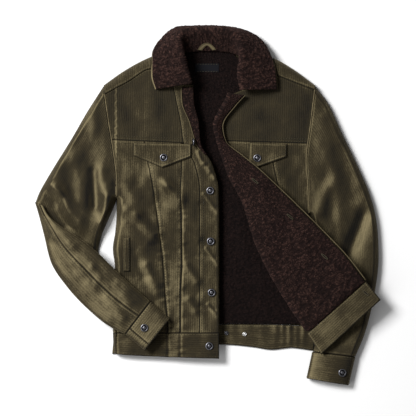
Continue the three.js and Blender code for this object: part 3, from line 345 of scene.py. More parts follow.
def catmull(points, t):
    """A centripetal curve through points, at t from 0 to 1, for whole arrays at once."""
    stack = np.stack([2 * points[0] - points[1], *points, 2 * points[-1] - points[-2]])
    count = len(stack) - 3
    at = clamp(t) * count
    i = np.minimum(at.astype(int), count - 1)
    w = (at - i)[..., None]
    a, b, c, d = (np.take_along_axis(stack, (i + k)[None, ..., None], 0)[0] for k in range(4))

    def gap(p, q):
        return np.maximum(np.linalg.norm(q - p, axis=-1, keepdims=True), 1e-9) ** 0.5
    g0, g1, g2 = gap(a, b), gap(b, c), gap(c, d)
    m1 = ((b - a) / g0 - (c - a) / (g0 + g1) + (c - b) / g1) * g1
    m2 = ((c - b) / g1 - (d - b) / (g1 + g2) + (d - c) / g2) * g1
    return ((2 * w ** 3 - 3 * w ** 2 + 1) * b + (w ** 3 - 2 * w ** 2 + w) * m1
            + (3 * w ** 2 - 2 * w ** 3) * c + (w ** 3 - w ** 2) * m2)


def line(corners):
    """A smooth line through corners, as a function of the share of its length."""
    t = np.linspace(0, 1, 500)
    points = [np.broadcast_to(np.array(c, float), (500, 2)) for c in corners]
    close = catmull(points, t)
    along = lengths_along(close)
    return lambda s: np.stack([np.interp(s, along, close[:, k]) for k in (0, 1)], -1)


def x_at(curve):
    """The x of a line of falling y, as a function of y."""
    close = curve(np.linspace(0, 1, 500))[::-1]
    return lambda y: np.interp(y, close[:, 1], close[:, 0])


def y_at(curve, x):
    """The y of a line of rising x, at places in x."""
    close = curve(np.linspace(0, 1, 400))
    return np.interp(x, close[:, 0], close[:, 1])


def distance_to(lines):
    """The distance from points to the nearest of some lines, each a row of points."""
    starts = np.concatenate([p[:-1] for p in lines])
    steps = np.concatenate([np.diff(p, axis=0) for p in lines])

    def at(x, y):
        best = np.full(np.shape(x), np.inf)
        for (ax, ay), (dx, dy) in zip(starts, steps):
            t = clamp(((x - ax) * dx + (y - ay) * dy) / (dx * dx + dy * dy + 1e-12))
            best = np.minimum(best, np.hypot(x - ax - dx * t, y - ay - dy * t))
        return best
    return at


def folded(rows, x, y):
    """The summed height of a table of folds at points."""
    total = np.zeros(np.shape(x))
    for x1, y1, x2, y2, wide, lift in zip(*rows.values()):
        dx, dy = x2 - x1, y2 - y1
        t = clamp(((x - x1) * dx + (y - y1) * dy) / (dx * dx + dy * dy))
        total += lift * bump(np.hypot(x - x1 - dx * t, y - y1 - dy * t) / wide)
    return total


def dense(curve, count=44):
    """Points along a line, evenly spaced."""
    return curve(np.linspace(0, 1, count))


def lengths_along(points):
    """The length along a row of points, from 0 to 1."""
    along = np.concatenate([[0], np.cumsum(np.linalg.norm(np.diff(points, axis=0), axis=1))])
    return along / along[-1]


armhole_l, armhole_r = line(ARMHOLE_L), line(ARMHOLE_R)
side_l, side_r = line(SIDE_L), line(SIDE_R)
shoulder_l, shoulder_r = line(SHOULDER_L), line(SHOULDER_R)
sleeve_out_l, sleeve_in_l = line(SLEEVE_OUT_L), line(SLEEVE_IN_L)
sleeve_out_r, sleeve_in_r = line(SLEEVE_OUT_R), line(SLEEVE_IN_R)
to_rim_l = distance_to([dense(c) for c in (shoulder_l, side_l, sleeve_out_l, sleeve_in_l)])
to_rim_r = distance_to([dense(c) for c in (shoulder_r, side_r, sleeve_out_r, sleeve_in_r)])
to_crease = distance_to([np.array([(-372, 6), (-232, -106)], float)])
left = columns(LEFT_ROWS, "y")
right = columns(RIGHT_ROWS, "at")


def crumple(x, y, seed=0):
    """The cloth's own unevenness: long soft waves along the wales and smaller ones across."""
    return (1.3 * noise(x / 40, y / 58, seed) + 0.42 * noise(x / 17, y / 26, seed + 1)
            + 0.10 * noise(x / 8, y / 10, seed + 2))


def rounded(to_rim, x, y):
    """How far points are in from the rim, from 0 to 1, and how high the top layer is there."""
    s = clamp((to_rim(x, y) - RIM_SLACK) / EDGE_ROUND)
    return s, np.sqrt(s * (2 - s))


def height_l(x, y):
    """Height of the left half's top layer."""
    s, rnd = rounded(to_rim_l, x, y)
    # lower along the forearm's crease, and towards the hem's outer corner
    loft_arm = mix(CREASE_LOFT, SLEEVE_LOFT, clamp((to_crease(x, y) - 8) / 45))
    loft_body = BODY_LOFT - 6 * clamp((-y - 90) / 60) * clamp((-x - 55) / 60)
    loft = np.where(x < ARMHOLE_X, loft_arm, loft_body)
    return RIM_Z + (loft + folded(CAD_FOLDS_L, x, y) * s) * rnd + relief_l(x, y) * s ** 2


def height_r(x, y):
    """Height of the right half's top layer."""
    s, rnd = rounded(to_rim_r, x, y)
    return (RIM_Z + (SLEEVE_LOFT - 2 + folded(CAD_FOLDS_R, x, y) * s) * rnd
            + relief_r(x, y) * s ** 2)


def seam_pucker(x, y, curve, seed):
    """Short ridges across a seam that runs up the cloth, and the seam's own groove."""
    off = x - curve(y)
    ridge = noise(x / 40, y / 6.5, seed) * bump(off / 9.0)
    return ridge - 0.9 * bump(off / 2.2)


def relief_l(x, y):
    """What the cloth of the left half does between its large folds."""
    pucker = clamp((60 - y) / 60)
    total = folded(FOLDS_L, x, y) + crumple(x, y, 5) * mix(1.0, 0.5, clamp((y - 80) / 30))
    total += pucker * seam_pucker(x, y, left["seam_a"], seed=3)
    total += pucker * seam_pucker(x, y, left["seam_b"], seed=4)
    return total


def relief_r(x, y):
    return folded(FOLDS_R, x, y) + crumple(x, y, 15) * mix(0.8, 0.5, clamp((y - 80) / 30))


# ---- the jacket's surfaces; u and v are arrays of the same shape ----
def left_side_x(y):
    """The x of the left half's outer edge: the armhole, and the side seam below it."""
    return np.where(y > ARMPIT_L, x_at(armhole_l)(y) + 0.7, x_at(side_l)(y))


def right_side_x(y):
    return np.where(y > ARMPIT_R, x_at(armhole_r)(y) - 0.9, x_at(side_r)(y))


def point(x, y, z):
    return np.stack(np.broadcast_arrays(x, y, z), -1).astype(float)


def chest_y(x):
    return mix(CHEST[1], CHEST[3], (x - CHEST[0]) / (CHEST[2] - CHEST[0]))


def left_panel(start, end):
    """The surface between two lines down the left front, from the yoke to the waistband."""
    def surface(u, v):
        top = chest_y(mix(start(CHEST_Y), end(CHEST_Y), u))
        y = mix(top, WAIST_L, v)
        x = mix(start(y), end(y), u)
        return point(x, y, height_l(x, y))
    return surface


def centre_panel(u, v):
    y = mix(mix(PLACKET_TOP, WAIST_L, CENTRE_SHARE), WAIST_L, v)
    x = mix(left["seam_b"](y), left["placket"](y), u)
    return point(x, y, height_l(x, y))


def left_yoke(u, v):
    """Its ends follow the armhole and the placket, and what lies between them its own table."""
    get = columns(YOKE_ROWS_L, "at")
    top_x, low_x = YOKE_ROWS_L["top_x"], YOKE_ROWS_L["low_x"]
    y = mix(get["top_y"](u), chest_y(get["low_x"](u)), v)
    x = mix(get["top_x"](u), get["low_x"](u), v)
    x += (left_side_x(y) - mix(top_x[0], low_x[0], v)) * clamp(1 - u / 0.3) ** 2
    x += (left["placket"](y) - mix(top_x[-1], low_x[-1], v)) * clamp((u - 0.7) / 0.3) ** 2
    return point(x, y, height_l(x, y))


def left_placket(u, v):
    """Flat to the edge for u = 0..1, round it for 1..2, back underneath for 2..3."""
    y = mix(PLACKET_TOP, WAIST_L, v)
    edge = left["edge"](y) - ROLL_R
    flat_x = mix(left["placket"](y), edge, np.minimum(u, 1))
    turn = clamp(u - 1) * np.pi
    x = np.where(u <= 1, flat_x, edge + ROLL_R * np.sin(turn) - 16 * np.maximum(u - 2, 0))
    z = height_l(flat_x, y) - ROLL_R * (1 - np.cos(turn)) * (u > 1)
    return point(x, y, z)


def rolled_lining(u, v):
    """The strip of lining that rolls into view over the left front's edge."""
    y = mix(256.0, 112.0, v)
    edge = left["edge"](y) + 0.5
    x = mix(edge - left["roll"](y) - 3, edge, u)
    return point(x, y, height_l(np.minimum(x, edge - ROLL_R - 0.5), y) + LIE)


def rolled_edge(u, v):
    """The corduroy's own edge, folded over that strip."""
    y = mix(255.0, 120.0, v)
    x = left["edge"](y) - left["roll"](y) - 3.5 - CLOTH + CLOTH * u
    return point(x, y, height_l(x, y) + LIE)


def waistband_left(u, v):
    y = mix(WAIST_L, mix(-316, HEM_L - 3, np.sqrt(u)), v)
    x = mix(left_side_x(y), left["edge"](y), u)
    return point(x, y, height_l(x, y))


def right_front(u, v):
    """Base layer for u = 0..1, the roll for 1..2 and the turned layer for 2..3."""
    fold = np.stack([right["fold_x"](v), right["fold_y"](v)], -1)
    low, high = np.maximum(v - 0.01, 0), np.minimum(v + 0.01, 1)
    along = np.stack([right["fold_x"](high) - right["fold_x"](low),
                      right["fold_y"](high) - right["fold_y"](low)], -1)
    along /= np.linalg.norm(along, axis=-1, keepdims=True)
    inward = np.stack([-along[..., 1], along[..., 0]], -1)
    radius = right["up"](v) / 2
    centre = fold + inward * (radius + LINING_OUT)[..., None]
    base = height_r(centre[..., 0], centre[..., 1])
    side_y = right["side_y"](v)
    t = clamp(u)
    y0 = mix(side_y, centre[..., 1], t) + right["bow"](v) * np.minimum(
        t / SHOULDER_PEAK, (1 - t) / (1 - SHOULDER_PEAK))
    x0 = mix(right_side_x(side_y), centre[..., 0], t)
    z0 = mix(height_r(x0, y0), base, clamp((t - 0.6) / 0.4) ** 2)
    turn = clamp(u - 1) * np.pi
    x1 = centre[..., 0] - inward[..., 0] * radius * np.sin(turn)
    y1 = centre[..., 1] - inward[..., 1] * radius * np.sin(turn)
    z1 = base + radius * (1 - np.cos(turn))
    t = clamp(u - 2)
    x2 = mix(centre[..., 0], right["free_x"](v), t)
    y2 = mix(centre[..., 1], right["free_y"](v), t)
    crown = 3 * np.sin(np.pi * t) * clamp((v - 0.25) / 0.2)
    soft = np.sin(np.pi * t) * clamp((v - 0.2) / 0.1) * (
        folded(FOLDS_TURNED, x2, y2) + crumple(x2, y2, 25))
    z2 = base + 2 * radius + crown + right["rise"](v) * t + soft
    first, second = u <= 1, u <= 2
    return point(np.where(first, x0, np.where(second, x1, x2)),
                 np.where(first, y0, np.where(second, y1, y2)),
                 np.where(first, z0, np.where(second, z1, z2)))


def right_edge(u, v):
    """The right front's free edge, folded over its lining."""
    at, back = right_front(u * 0 + 3, v), right_front(u * 0 + 2.9, v)
    out = at - back
    out[..., 2] = 0
    out /= np.linalg.norm(out, axis=-1, keepdims=True)
    return at + out * (LINING_GAP + CLOTH * u)[..., None]


def waistband_turned(u, v):
    """The right waistband's end, which lies turned over the lining."""
    ends = [{key: BAND_TURN[key][i] for key in BAND_TURN} for i in (0, 1)]
    x = mix(*(mix(end["top_x"], end["low_x"], v) for end in ends), u)
    y = mix(*(mix(end["top_y"], end["low_y"], v) for end in ends), u)
    return point(x, y, right_front(2 + u, u * 0 + 1)[..., 2] + BAND)


def sleeve(out, inn, hole, height):
    """A sleeve's top, from the outer line to the inner one and from the armhole to the cuff."""
    def surface(u, v):
        chord = mix(out(0.0), inn(0.0), u[..., None])
        at = mix(out(v), inn(v), u[..., None]) + (hole(u) - chord) * ((1 - v) ** 3)[..., None]
        return point(at[..., 0], at[..., 1], height(at[..., 0], at[..., 1]))
    return surface


def flat_tube(rows, relief=None):
    """A tube pressed flat: u goes round it from its crease, over the top and back underneath."""
    get = columns(rows, "at")

    def surface(u, v):
        turn = u * 2 * np.pi
        across, lift = 0.5 - 0.5 * np.cos(turn), np.sin(turn)
        power = np.where(lift > 0, 0.7, 0.5)
        base = mix(get["crease_z"](v), get["out_z"](v), across)
        z = base + get["loft"](v) / 2 * (1 + np.sign(lift) * np.abs(lift) ** power)
        x = mix(get["crease_x"](v), get["out_x"](v), across)
        y = mix(get["crease_y"](v), get["out_y"](v), across)
        if relief:
            z = z + relief(x, y) * clamp(lift) ** 0.5
        return point(x, y, z)
    return surface


def relief_forearm(x, y):
    return folded(FOLDS_FOREARM, x, y) + crumple(x, y, 35)


def collar(u, v):
    """Up the stand for u = 0..1, over the roll and down the fall for 1..2."""
    get = columns(COLLAR_ROWS, "at")
    neck, roll, fall = (point(get[f"{k}_x"](v), get[f"{k}_y"](v), get[f"{k}_z"](v))
                        for k in ("neck", "roll", "fall"))
    drop = mix(roll, fall, 0.45)
    drop[..., 2] += 3
    return catmull([neck, mix(neck, roll, 0.55), roll, drop, fall], u / 2)


def flap(name):
    """A pocket flap, pointed at its middle, with its free edge standing off the cloth."""
    middle_x, middle_y, tilt, start, end = FLAPS[name]
    height = height_l if middle_x < 0 else height_r

    def surface(u, v):
        across = mix(start, end, u)
        depth = mix(FLAP_POINT, FLAP_SIDE, np.abs(across) / FLAP_HALF) * v
        x = middle_x + across * math.cos(tilt) + depth * math.sin(tilt)
        y = middle_y + across * math.sin(tilt) - depth * math.cos(tilt)
        return point(x, y, height(x, y) + FLAP_CURL * v ** 2)
    return surface


def pocket_welt(u, v):
    x, y = mix(-180.5, -166.5, u), mix(-66.0, -140.0, v)
    return point(x, y, height_l(x, y))


def back_panel(u, v):
    y = mix(164.4, -256.5, v)
    x = mix(np.where(y > 12, x_at(armhole_l)(y) + SEAM, x_at(side_l)(y)),
            np.where(y > -24, x_at(armhole_r)(y) - SEAM, x_at(side_r)(y)), u)
    waist = line(BACK_WAIST)
    dip = (y_at(waist, x) - -256.5) * clamp((v - 0.8) / 0.2)
    return point(x, y + dip + SEAM, CLOTH)


def back_yoke(u, v):
    """The part of the yoke that lies under, from its straight seam to the shoulder and neck edges."""
    top = np.concatenate([dense(shoulder_l, 60), dense(line(NECK_BACK), 30)[1:-1],
                          dense(shoulder_r, 60)[::-1]])
    along = lengths_along(top)
    tx, ty = np.interp(u, along, top[:, 0]), np.interp(u, along, top[:, 1])
    hole_l, hole_r = x_at(armhole_l), x_at(armhole_r)
    lx, rx = hole_l(YOKE_LOW), hole_r(YOKE_LOW)
    y = mix(ty, YOKE_LOW, v)
    x = mix(tx, mix(lx, rx, u), v)
    x += (hole_l(y) - mix(ARMHOLE_L[0][0], lx, v)) * clamp(1 - u / 0.2) ** 2
    x += (hole_r(y) - mix(ARMHOLE_R[0][0], rx, v)) * clamp((u - 0.8) / 0.2) ** 2
    return point(x, y, CLOTH)


def shoulder_strip(rim, reach, forward, height):
    """The yoke's strip over one shoulder, from the floor round the edge to its forward seam."""
    def surface(u, v):
        edge = rim(mix(0.015, reach, v))
        to = forward(v)
        across = clamp((u - 0.1) / 0.9)
        x, y = mix(edge[..., 0], to[..., 0], across), mix(edge[..., 1], to[..., 1], across)
        z = np.where(u < 0.1, RIM_Z * u / 0.1, height(x, y))
        return point(x, y, z)
    return surface


def back_waistband(u, v):
    """The back waistband between the fronts, gathered where it was pulled in."""
    top, low = line(BACK_WAIST)(u), line(BACK_HEM)(u)
    x = mix(top[..., 0], low[..., 0], v)
    lift = sum(p * bump((x - c) / w) for c, w, p in zip(*PUCKERS.values()))
    lift = lift * (0.6 + 0.4 * noise(x / 14, v * 2.6, 7)) + 0.35 * noise(x / 11, v * 1.5, 8)
    x = x + 3 * v * noise(x / 25, v, 9) + 5 * clamp((u - 0.9) / 0.1)
    return point(x, mix(top[..., 1] - SEAM, low[..., 1], v),
                 BAND + lift * (0.85 - 0.8 * v))


def back_lining(u, v):
    """The back's lining where the opening shows it, with its own soft folds."""
    get = columns(LINING_ROWS, "y")
    y = mix(337.0, -253.0, v)
    x = mix(get["left"](y), get["right"](y), u)
    z = RIM_Z + PILE + 0.4 * noise(x / 30, y / 45, 9)
    for x1, y1, x2, y2, wide, lift in zip(*FOLDS_LINING.values()):
        t = clamp((y - y1) / (y2 - y1))
        z = z + lift * bump((x - mix(x1, x2, t)) / wide) * np.sin(np.pi * t)
    return point(x, y, z)


# ---- meshes ----
LABEL_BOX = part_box("neck_label")
SHIFT = (LABEL_BOX[0] + LABEL_BOX[1]) / 2 - Vector((LABEL_AT[0] * MM, LABEL_AT[1] * MM, 0))
SHIFT = np.array([SHIFT.x, SHIFT.y, 0.0])   # from the tables' coordinates to the frame's
UP = np.array([[0, 0, 1.0]])
LAID = {}          # each piece's visible grid and normals, for thread and buttonholes to lie on


def unit(a):
    return a / np.maximum(np.linalg.norm(a, axis=-1, keepdims=True), 1e-12)


def mesh_of(name, points, quads, triangles=(), values=None, last=None):
    """A mesh object from points in metres and faces, turned outwards. last is one more face."""
    quads = np.asarray(quads, np.int32).reshape(-1, 4)
    triangles = np.asarray(triangles, np.int32).reshape(-1, 3)
    corner = [points[quads[:, k]] for k in range(4)]
    volume = sum(np.einsum("ij,ij->i", corner[0], np.cross(corner[k], corner[k + 1])).sum()
                 for k in (1, 2))
    corner = [points[triangles[:, k]] for k in range(3)]
    volume += np.einsum("ij,ij->i", corner[0], np.cross(corner[1], corner[2])).sum()
    last = np.empty(0, np.int32) if last is None else np.asarray(last, np.int32)
    if volume < 0:
        quads, triangles, last = quads[:, ::-1], triangles[:, ::-1], last[::-1]
    mesh = bpy.data.meshes.new(name)
    mesh.vertices.add(len(points))
    mesh.vertices.foreach_set("co", points.astype(np.float32).ravel())
    corners = np.concatenate([quads.ravel(), triangles.ravel(), last])
    mesh.loops.add(len(corners))
    mesh.loops.foreach_set("vertex_index", corners)
    sizes = np.concatenate([np.full(len(quads), 4), np.full(len(triangles), 3),
                            np.full(int(last.size > 0), last.size)]).astype(np.int32)
    mesh.polygons.add(len(sizes))
    starts = np.concatenate([[0], np.cumsum(sizes)[:-1]]).astype(np.int32)
    mesh.polygons.foreach_set("loop_start", starts)
    mesh.polygons.foreach_set("use_smooth", np.ones(len(sizes), bool))
    mesh.update(calc_edges=True)
    for key, value in (values or {}).items():
        kind = "FLOAT_VECTOR" if value.ndim == 2 else "FLOAT"
        attribute = mesh.attributes.new(key, kind, "POINT")
        attribute.data.foreach_set("vector" if value.ndim == 2 else "value",
                                   value.astype(np.float32).ravel())
    obj = bpy.data.objects.new(name, mesh)
    bpy.context.scene.collection.objects.link(obj)
    return obj


def wall_faces(nu, nv):
    """The quads of two grids joined face to face round their borders."""
    def at(i, j, layer):
        return layer * (nu + 1) * (nv + 1) + i * (nv + 1) + j
    i, j = (a.ravel() for a in np.meshgrid(np.arange(nu), np.arange(nv), indexing="ij"))
    a, b = np.arange(nu), np.arange(nv)
    runs = [(at(i, j, 0), at(i + 1, j, 0), at(i + 1, j + 1, 0), at(i, j + 1, 0)),
            (at(i, j, 1), at(i, j + 1, 1), at(i + 1, j + 1, 1), at(i + 1, j, 1)),
            (at(a, 0, 1), at(a + 1, 0, 1), at(a + 1, 0, 0), at(a, 0, 0)),
            (at(a, nv, 0), at(a + 1, nv, 0), at(a + 1, nv, 1), at(a, nv, 1)),
            (at(0, b, 0), at(0, b + 1, 0), at(0, b + 1, 1), at(0, b, 1)),
            (at(nu, b, 1), at(nu, b + 1, 1), at(nu, b + 1, 0), at(nu, b, 0))]
    return np.concatenate([np.stack(r, -1) for r in runs])


def slab_faces(nu, nv):
    """The quads of one grid and its border walls, and the border's ring below as one face."""
    def at(i, j):
        return i * (nv + 1) + j
    i, j = (a.ravel() for a in np.meshgrid(np.arange(nu), np.arange(nv), indexing="ij"))
    ring = [at(i, 0) for i in range(nu)] + [at(nu, j) for j in range(nv)]
    ring += [at(i, nv) for i in range(nu, 0, -1)] + [at(0, j) for j in range(nv, 0, -1)]
    ring = np.array(ring)
    below = (nu + 1) * (nv + 1) + np.arange(len(ring))
    walls = np.stack([np.roll(ring, -1), ring, below, np.roll(below, -1)], -1)
    grid = np.stack([at(i, j), at(i + 1, j), at(i + 1, j + 1), at(i, j + 1)], -1)
    return np.concatenate([grid, walls]), ring, below[::-1]


def ring_faces(sides, rings):
    """The quads between rings of points, and triangles to the two points that close the ends."""
    k = np.arange(sides)
    n = (k + 1) % sides
    last, first_end = (rings - 1) * sides, rings * sides
    quads = np.concatenate([np.stack([r + k, r + n, r + sides + n, r + sides + k], -1)
                            for r in range(0, last, sides)])
    ends = np.concatenate([np.stack([k * 0 + first_end, n, k], -1),
                           np.stack([k * 0 + first_end + 1, last + k, last + n], -1)])
    return quads, ends


def spread(low, high, surface, axis, other, cell):
    """Places along one way of a surface, about one cell apart, closer together at its borders.

    axis is that way, u or v, and other holds the places in the other way among which the longest
    run is looked for.
    """
    t = np.linspace(0, 1, 300)
    best, lengths = 0, None
    for o in other:
        at = mix(low, high, t)
        p = surface(at, at * 0 + o) if axis == "u" else surface(at * 0 + o, at)
        step = np.linalg.norm(np.diff(p, axis=0), axis=1)
        if step.sum() > best:
            best, lengths = step.sum(), step
    along = np.concatenate([[0], np.cumsum(lengths)])
    count = max(2, int(round(along[-1] / cell)))
    want = np.linspace(0, along[-1], count + 1)
    if count > 4:
        want = np.insert(want, [1, count], [cell * BORDER_CELL, along[-1] - cell * BORDER_CELL])
    return mix(low, high, np.interp(want, along, t))


def cloth_wall(name, surface, u=(0, 1), v=(0, 1), thick=CLOTH, skin=0.0, side=1, floor=-math.inf,
               seams=(1, 1, 1, 1), cell=None, wales="y", visible="outer", pile=0.0, rim=0.5,
               flat_low=None, seed=0, shade=0.0):
    """A closed wall of cloth on a surface, in millimetres.

    thick is the wall; skin is how far its outer face stands over the surface, and side turns that
    face over. seams says how far each border, at u low, u high, v low and v high, draws in, in
    halves of a seam's gap. floor is the lowest either face may go, and flat_low lays the inner face
    flat at a height. pile is the depth of sherpa's curls, 1 for the usual; rim is how far the borders
    round off; wales run up the jacket, or along u or v; visible is the face that shows.
    """
    sizes = bpy.context.scene.jacket_sizes
    cell = cell or (sizes.pile_cell if pile else sizes.cell) / MM
    vs, us = np.linspace(*v, 5), np.linspace(*u, 5)
    U = spread(*u, surface, "u", vs, cell)
    V = spread(*v, surface, "v", us, cell)
    uu, vv = np.meshgrid(U, V, indexing="ij")
    P = surface(uu, vv)
    for edge, inner, size in ((0, 1, seams[0]), (-1, -2, seams[1])):
        P[edge] += unit(P[inner] - P[edge]) * SEAM / 2 * size
    for edge, inner, size in ((0, 1, seams[2]), (-1, -2, seams[3])):
        P[:, edge] += unit(P[:, inner] - P[:, edge]) * SEAM / 2 * size
    normal = unit(np.cross(np.gradient(P, axis=1), np.gradient(P, axis=0))) * side
    outer, inner = P + normal * skin, P + normal * (skin - thick)
    if flat_low is not None:
        inner = P.copy()
        inner[..., 2] = flat_low
    # distances along both ways, for wales, pile and borders
    du = np.cumsum(np.pad(np.linalg.norm(np.diff(P, axis=0), axis=-1), ((1, 0), (0, 0))), axis=0)
    dv = np.cumsum(np.pad(np.linalg.norm(np.diff(P, axis=1), axis=-1), ((0, 0), (1, 0))), axis=1)
    from_edge = np.minimum.reduce([du, du[-1:] - du, dv, dv[:, -1:] - dv])
    mean_u = np.broadcast_to(du.mean(1, keepdims=True), du.shape)
    mean_v = np.broadcast_to(dv.mean(0, keepdims=True), dv.shape)
    show, away = (outer, normal) if visible == "outer" else (inner, -normal)
    height = np.zeros(du.shape)
    if pile:
        nub, depth = sizes.nub / MM, sizes.nub_height / MM * pile
        a = mean_u + 1.3 * noise(mean_u / 6, mean_v / 6, seed + 1)
        b = mean_v + 1.3 * noise(mean_u / 6, mean_v / 6, seed + 2)
        height = curls(a, b, nub, seed) * 0.75 + curls(a, b, nub * 0.55, seed + 7) * 0.25
        show += away * (height * depth * clamp(from_edge / 3 + 0.35))[..., None]
    if rim:
        drop = rim * clamp(1 - from_edge / 2.0) ** 1.5
        show -= away * drop[..., None]
    outer[..., 2], inner[..., 2] = np.maximum(outer[..., 2], floor), np.maximum(inner[..., 2], floor)
    if wales == "y":
        across, run = P[..., 0], P[..., 1]
    elif wales == "u":
        across, run = mean_v, mean_u
    else:
        across, run = mean_u, mean_v
    # painted light and shade: the top face is paler where it tilts toward the light and darker where it
    # tilts away, faded out on the steep rims
    tilt = unit(np.cross(np.gradient(show, axis=1), np.gradient(show, axis=0)))
    tilt = tilt * np.sign((tilt * away).sum(-1, keepdims=True))
    painted_tilt_light = np.clip(tilt[..., 0] * PAINTED_LIGHT_WAY[0] + tilt[..., 1] * PAINTED_LIGHT_WAY[1], -PAINTED_LIGHT_MOST, PAINTED_LIGHT_MOST)
    painted_tilt_light = (painted_tilt_light * clamp((tilt[..., 2] - 0.85) / 0.12)).ravel()
    grain = np.stack([across + seed * 13.0, run, np.minimum(from_edge, BORDER_REACH)], -1).reshape(-1, 3)
    tuft = height.ravel()
    if flat_low is None:
        faces, below, last = wall_faces(len(U) - 1, len(V) - 1), np.arange(tuft.size), None
    else:
        faces, below, last = slab_faces(len(U) - 1, len(V) - 1)
    points = np.concatenate([outer.reshape(-1, 3), inner.reshape(-1, 3)[below]]) * MM + SHIFT
    # the 'shade' attribute holds the piece's own painted shade or light and, on corduroy, the painted
    # light and shade by tilt
    values = {"grain": np.concatenate([grain, grain[below]]), "nub": np.concatenate([tuft, tuft[below]]),
              "shade": shade + np.concatenate([painted_tilt_light, painted_tilt_light[below]]) * (0.0 if pile else 1.0)}
    obj = mesh_of(f"{name}_cloth", points, faces, values=values, last=last)
    LAID[name] = {"grid": show, "away": away, "u": U, "v": V, "du": du, "dv": dv}
    return obj


def placed(obj, node=None):
    """Puts a piece on the jacket's body, in place of its CAD node."""
    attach(obj, "root")
    if node:
        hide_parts(node)
    return obj


# ---- materials ----
def add(tree, kind, links=(), **settings):
    """A node with its settings, and links into it as (input, output socket)."""
    node = tree.nodes.new(kind)
    for key, value in settings.items():
        setattr(node, key, value)
    for key, source in dict(links).items():
        if isinstance(source, bpy.types.NodeSocket):
            tree.links.new(source, node.inputs[key])
        else:
            node.inputs[key].default_value = source
    return node


def material(name):
    """An empty material with its shader and output, and the tree and shader to build on."""
    found = bpy.data.materials.new(name)
    found.use_nodes = True
    tree = found.node_tree
    tree.nodes.clear()
    shader = tree.nodes.new("ShaderNodeBsdfPrincipled")
    output = tree.nodes.new("ShaderNodeOutputMaterial")
    tree.links.new(shader.outputs[0], output.inputs[0])
    return found, tree, shader


def maths(tree, operation, a, b=0.0, c=0.0):
    return add(tree, "ShaderNodeMath", {0: a, 1: b, 2: c}, operation=operation).outputs[0]


def stored(tree, name, output="Fac"):
    """What a mesh stores under a name at each of its points."""
    return add(tree, "ShaderNodeAttribute", attribute_name=name).outputs[output]


def mottle(tree, place, scale, detail=2.0, roughness=0.5, distortion=0.0):
    """Soft noise from 0 to 1."""
    return add(tree, "ShaderNodeTexNoise", {
        "Vector": place, "Scale": scale, "Detail": detail, "Roughness": roughness,
        "Distortion": distortion}).outputs[0]


def tinted(tree, shader, tone, *stops):
    """Colours the shader by a tone, through stops of place and colour in rising order."""
    ramp = add(tree, "ShaderNodeValToRGB", {0: tone})
    elements = ramp.color_ramp.elements
    for element, (place, tint) in zip(elements, (stops[0], stops[-1])):
        element.position, element.color = place, tint
    for place, tint in stops[1:-1]:
        elements.new(place).color = tint
    tree.links.new(ramp.outputs[0], shader.inputs["Base Color"])


def bumped(tree, shader, height, strength, distance):
    """Roughens the shader's normal by a height."""
    normal = add(tree, "ShaderNodeBump", {"Height": height, "Strength": strength,
                                          "Distance": distance})
    tree.links.new(normal.outputs[0], shader.inputs["Normal"])


def even(shader, values):
    """Sets what is the same all over a surface on the shader's own sockets."""
    for key, value in values.items():
        shader.inputs[key].default_value = value


def corduroy(name, tones, lift=0.0):
    """Cotton corduroy, cut and brushed: rows of soft pile that take the light in streaks, with painted
    shade at their seams, painted light and shade on its folds by how they tilt to the light, and
    rubbed paler near its borders. The real wales are 2.3 mm apart; they are
    drawn twice as coarse so that they show. tones are its dark, middle and light colours."""
    sizes = bpy.context.scene.jacket_sizes
    made, tree, shader = material(name)
    grain = stored(tree, "grain", "Vector")
    across, run, edge = add(tree, "ShaderNodeSeparateXYZ", {0: grain}).outputs
    wander = mottle(tree, grain, 0.05)
    phase = maths(tree, "MULTIPLY", maths(tree, "MULTIPLY_ADD", wander, 5.0, across),
                  2 * math.pi / (sizes.wale / MM))
    wave = maths(tree, "MULTIPLY_ADD", maths(tree, "SINE", phase), 0.5, 0.5)
    long_way = add(tree, "ShaderNodeCombineXYZ", {0: maths(tree, "MULTIPLY", across, 0.22),
                                                  1: maths(tree, "MULTIPLY", run, 0.018)}).outputs[0]
    streak = mottle(tree, long_way, 1.0, detail=3.0, roughness=0.6)
    brushed = mottle(tree, grain, 0.022, detail=3.0)
    fibre = mottle(tree, grain, 0.32, detail=4.0, roughness=0.75)
    # the cloth is painted darker where it dips into its seam, for the shade there, and the ridge beside
    # that is rubbed paler
    dip = maths(tree, "MINIMUM", maths(tree, "DIVIDE", edge, 1.5), 1.0)
    groove = maths(tree, "MULTIPLY_ADD", dip, 0.2, -0.2)
    off_ridge = maths(tree, "ABSOLUTE", maths(tree, "MULTIPLY_ADD", edge, 0.45, -1.6))
    ridge = maths(tree, "MAXIMUM", 0.0, maths(tree, "SUBTRACT", 1.0, off_ridge))
    worn = maths(tree, "MULTIPLY_ADD", ridge, 0.09, groove)
    # painted light and shade: each piece's own painted shade or light, with the painted light and shade by
    # tilt, from its 'shade' attribute
    tone = maths(tree, "MULTIPLY_ADD", stored(tree, "shade"), 1.15, 0.08)
    tone = maths(tree, "MULTIPLY_ADD", streak, 0.14, tone)
    tone = maths(tree, "MULTIPLY_ADD", brushed, 0.34, maths(tree, "ADD", tone, -0.04))
    tone = maths(tree, "MULTIPLY_ADD", wave, 0.06, tone)
    tone = maths(tree, "MULTIPLY_ADD", fibre, 0.42, maths(tree, "ADD", tone, -0.11))
    tone = maths(tree, "ADD", tone, maths(tree, "ADD", worn, lift))
    tinted(tree, shader, tone, (0.12, tones[0]), (0.42, tones[1]), (0.86, tones[2]))
    bumped(tree, shader, maths(tree, "MULTIPLY_ADD", fibre, 0.35, wave), 0.75, sizes.wale_height)
    even(shader, {"Roughness": 0.86, "Specular IOR Level": 0.22, "Sheen Weight": 0.26,
                  "Sheen Roughness": 0.38, "Sheen Tint": linear("#C6B48A")})
    return made


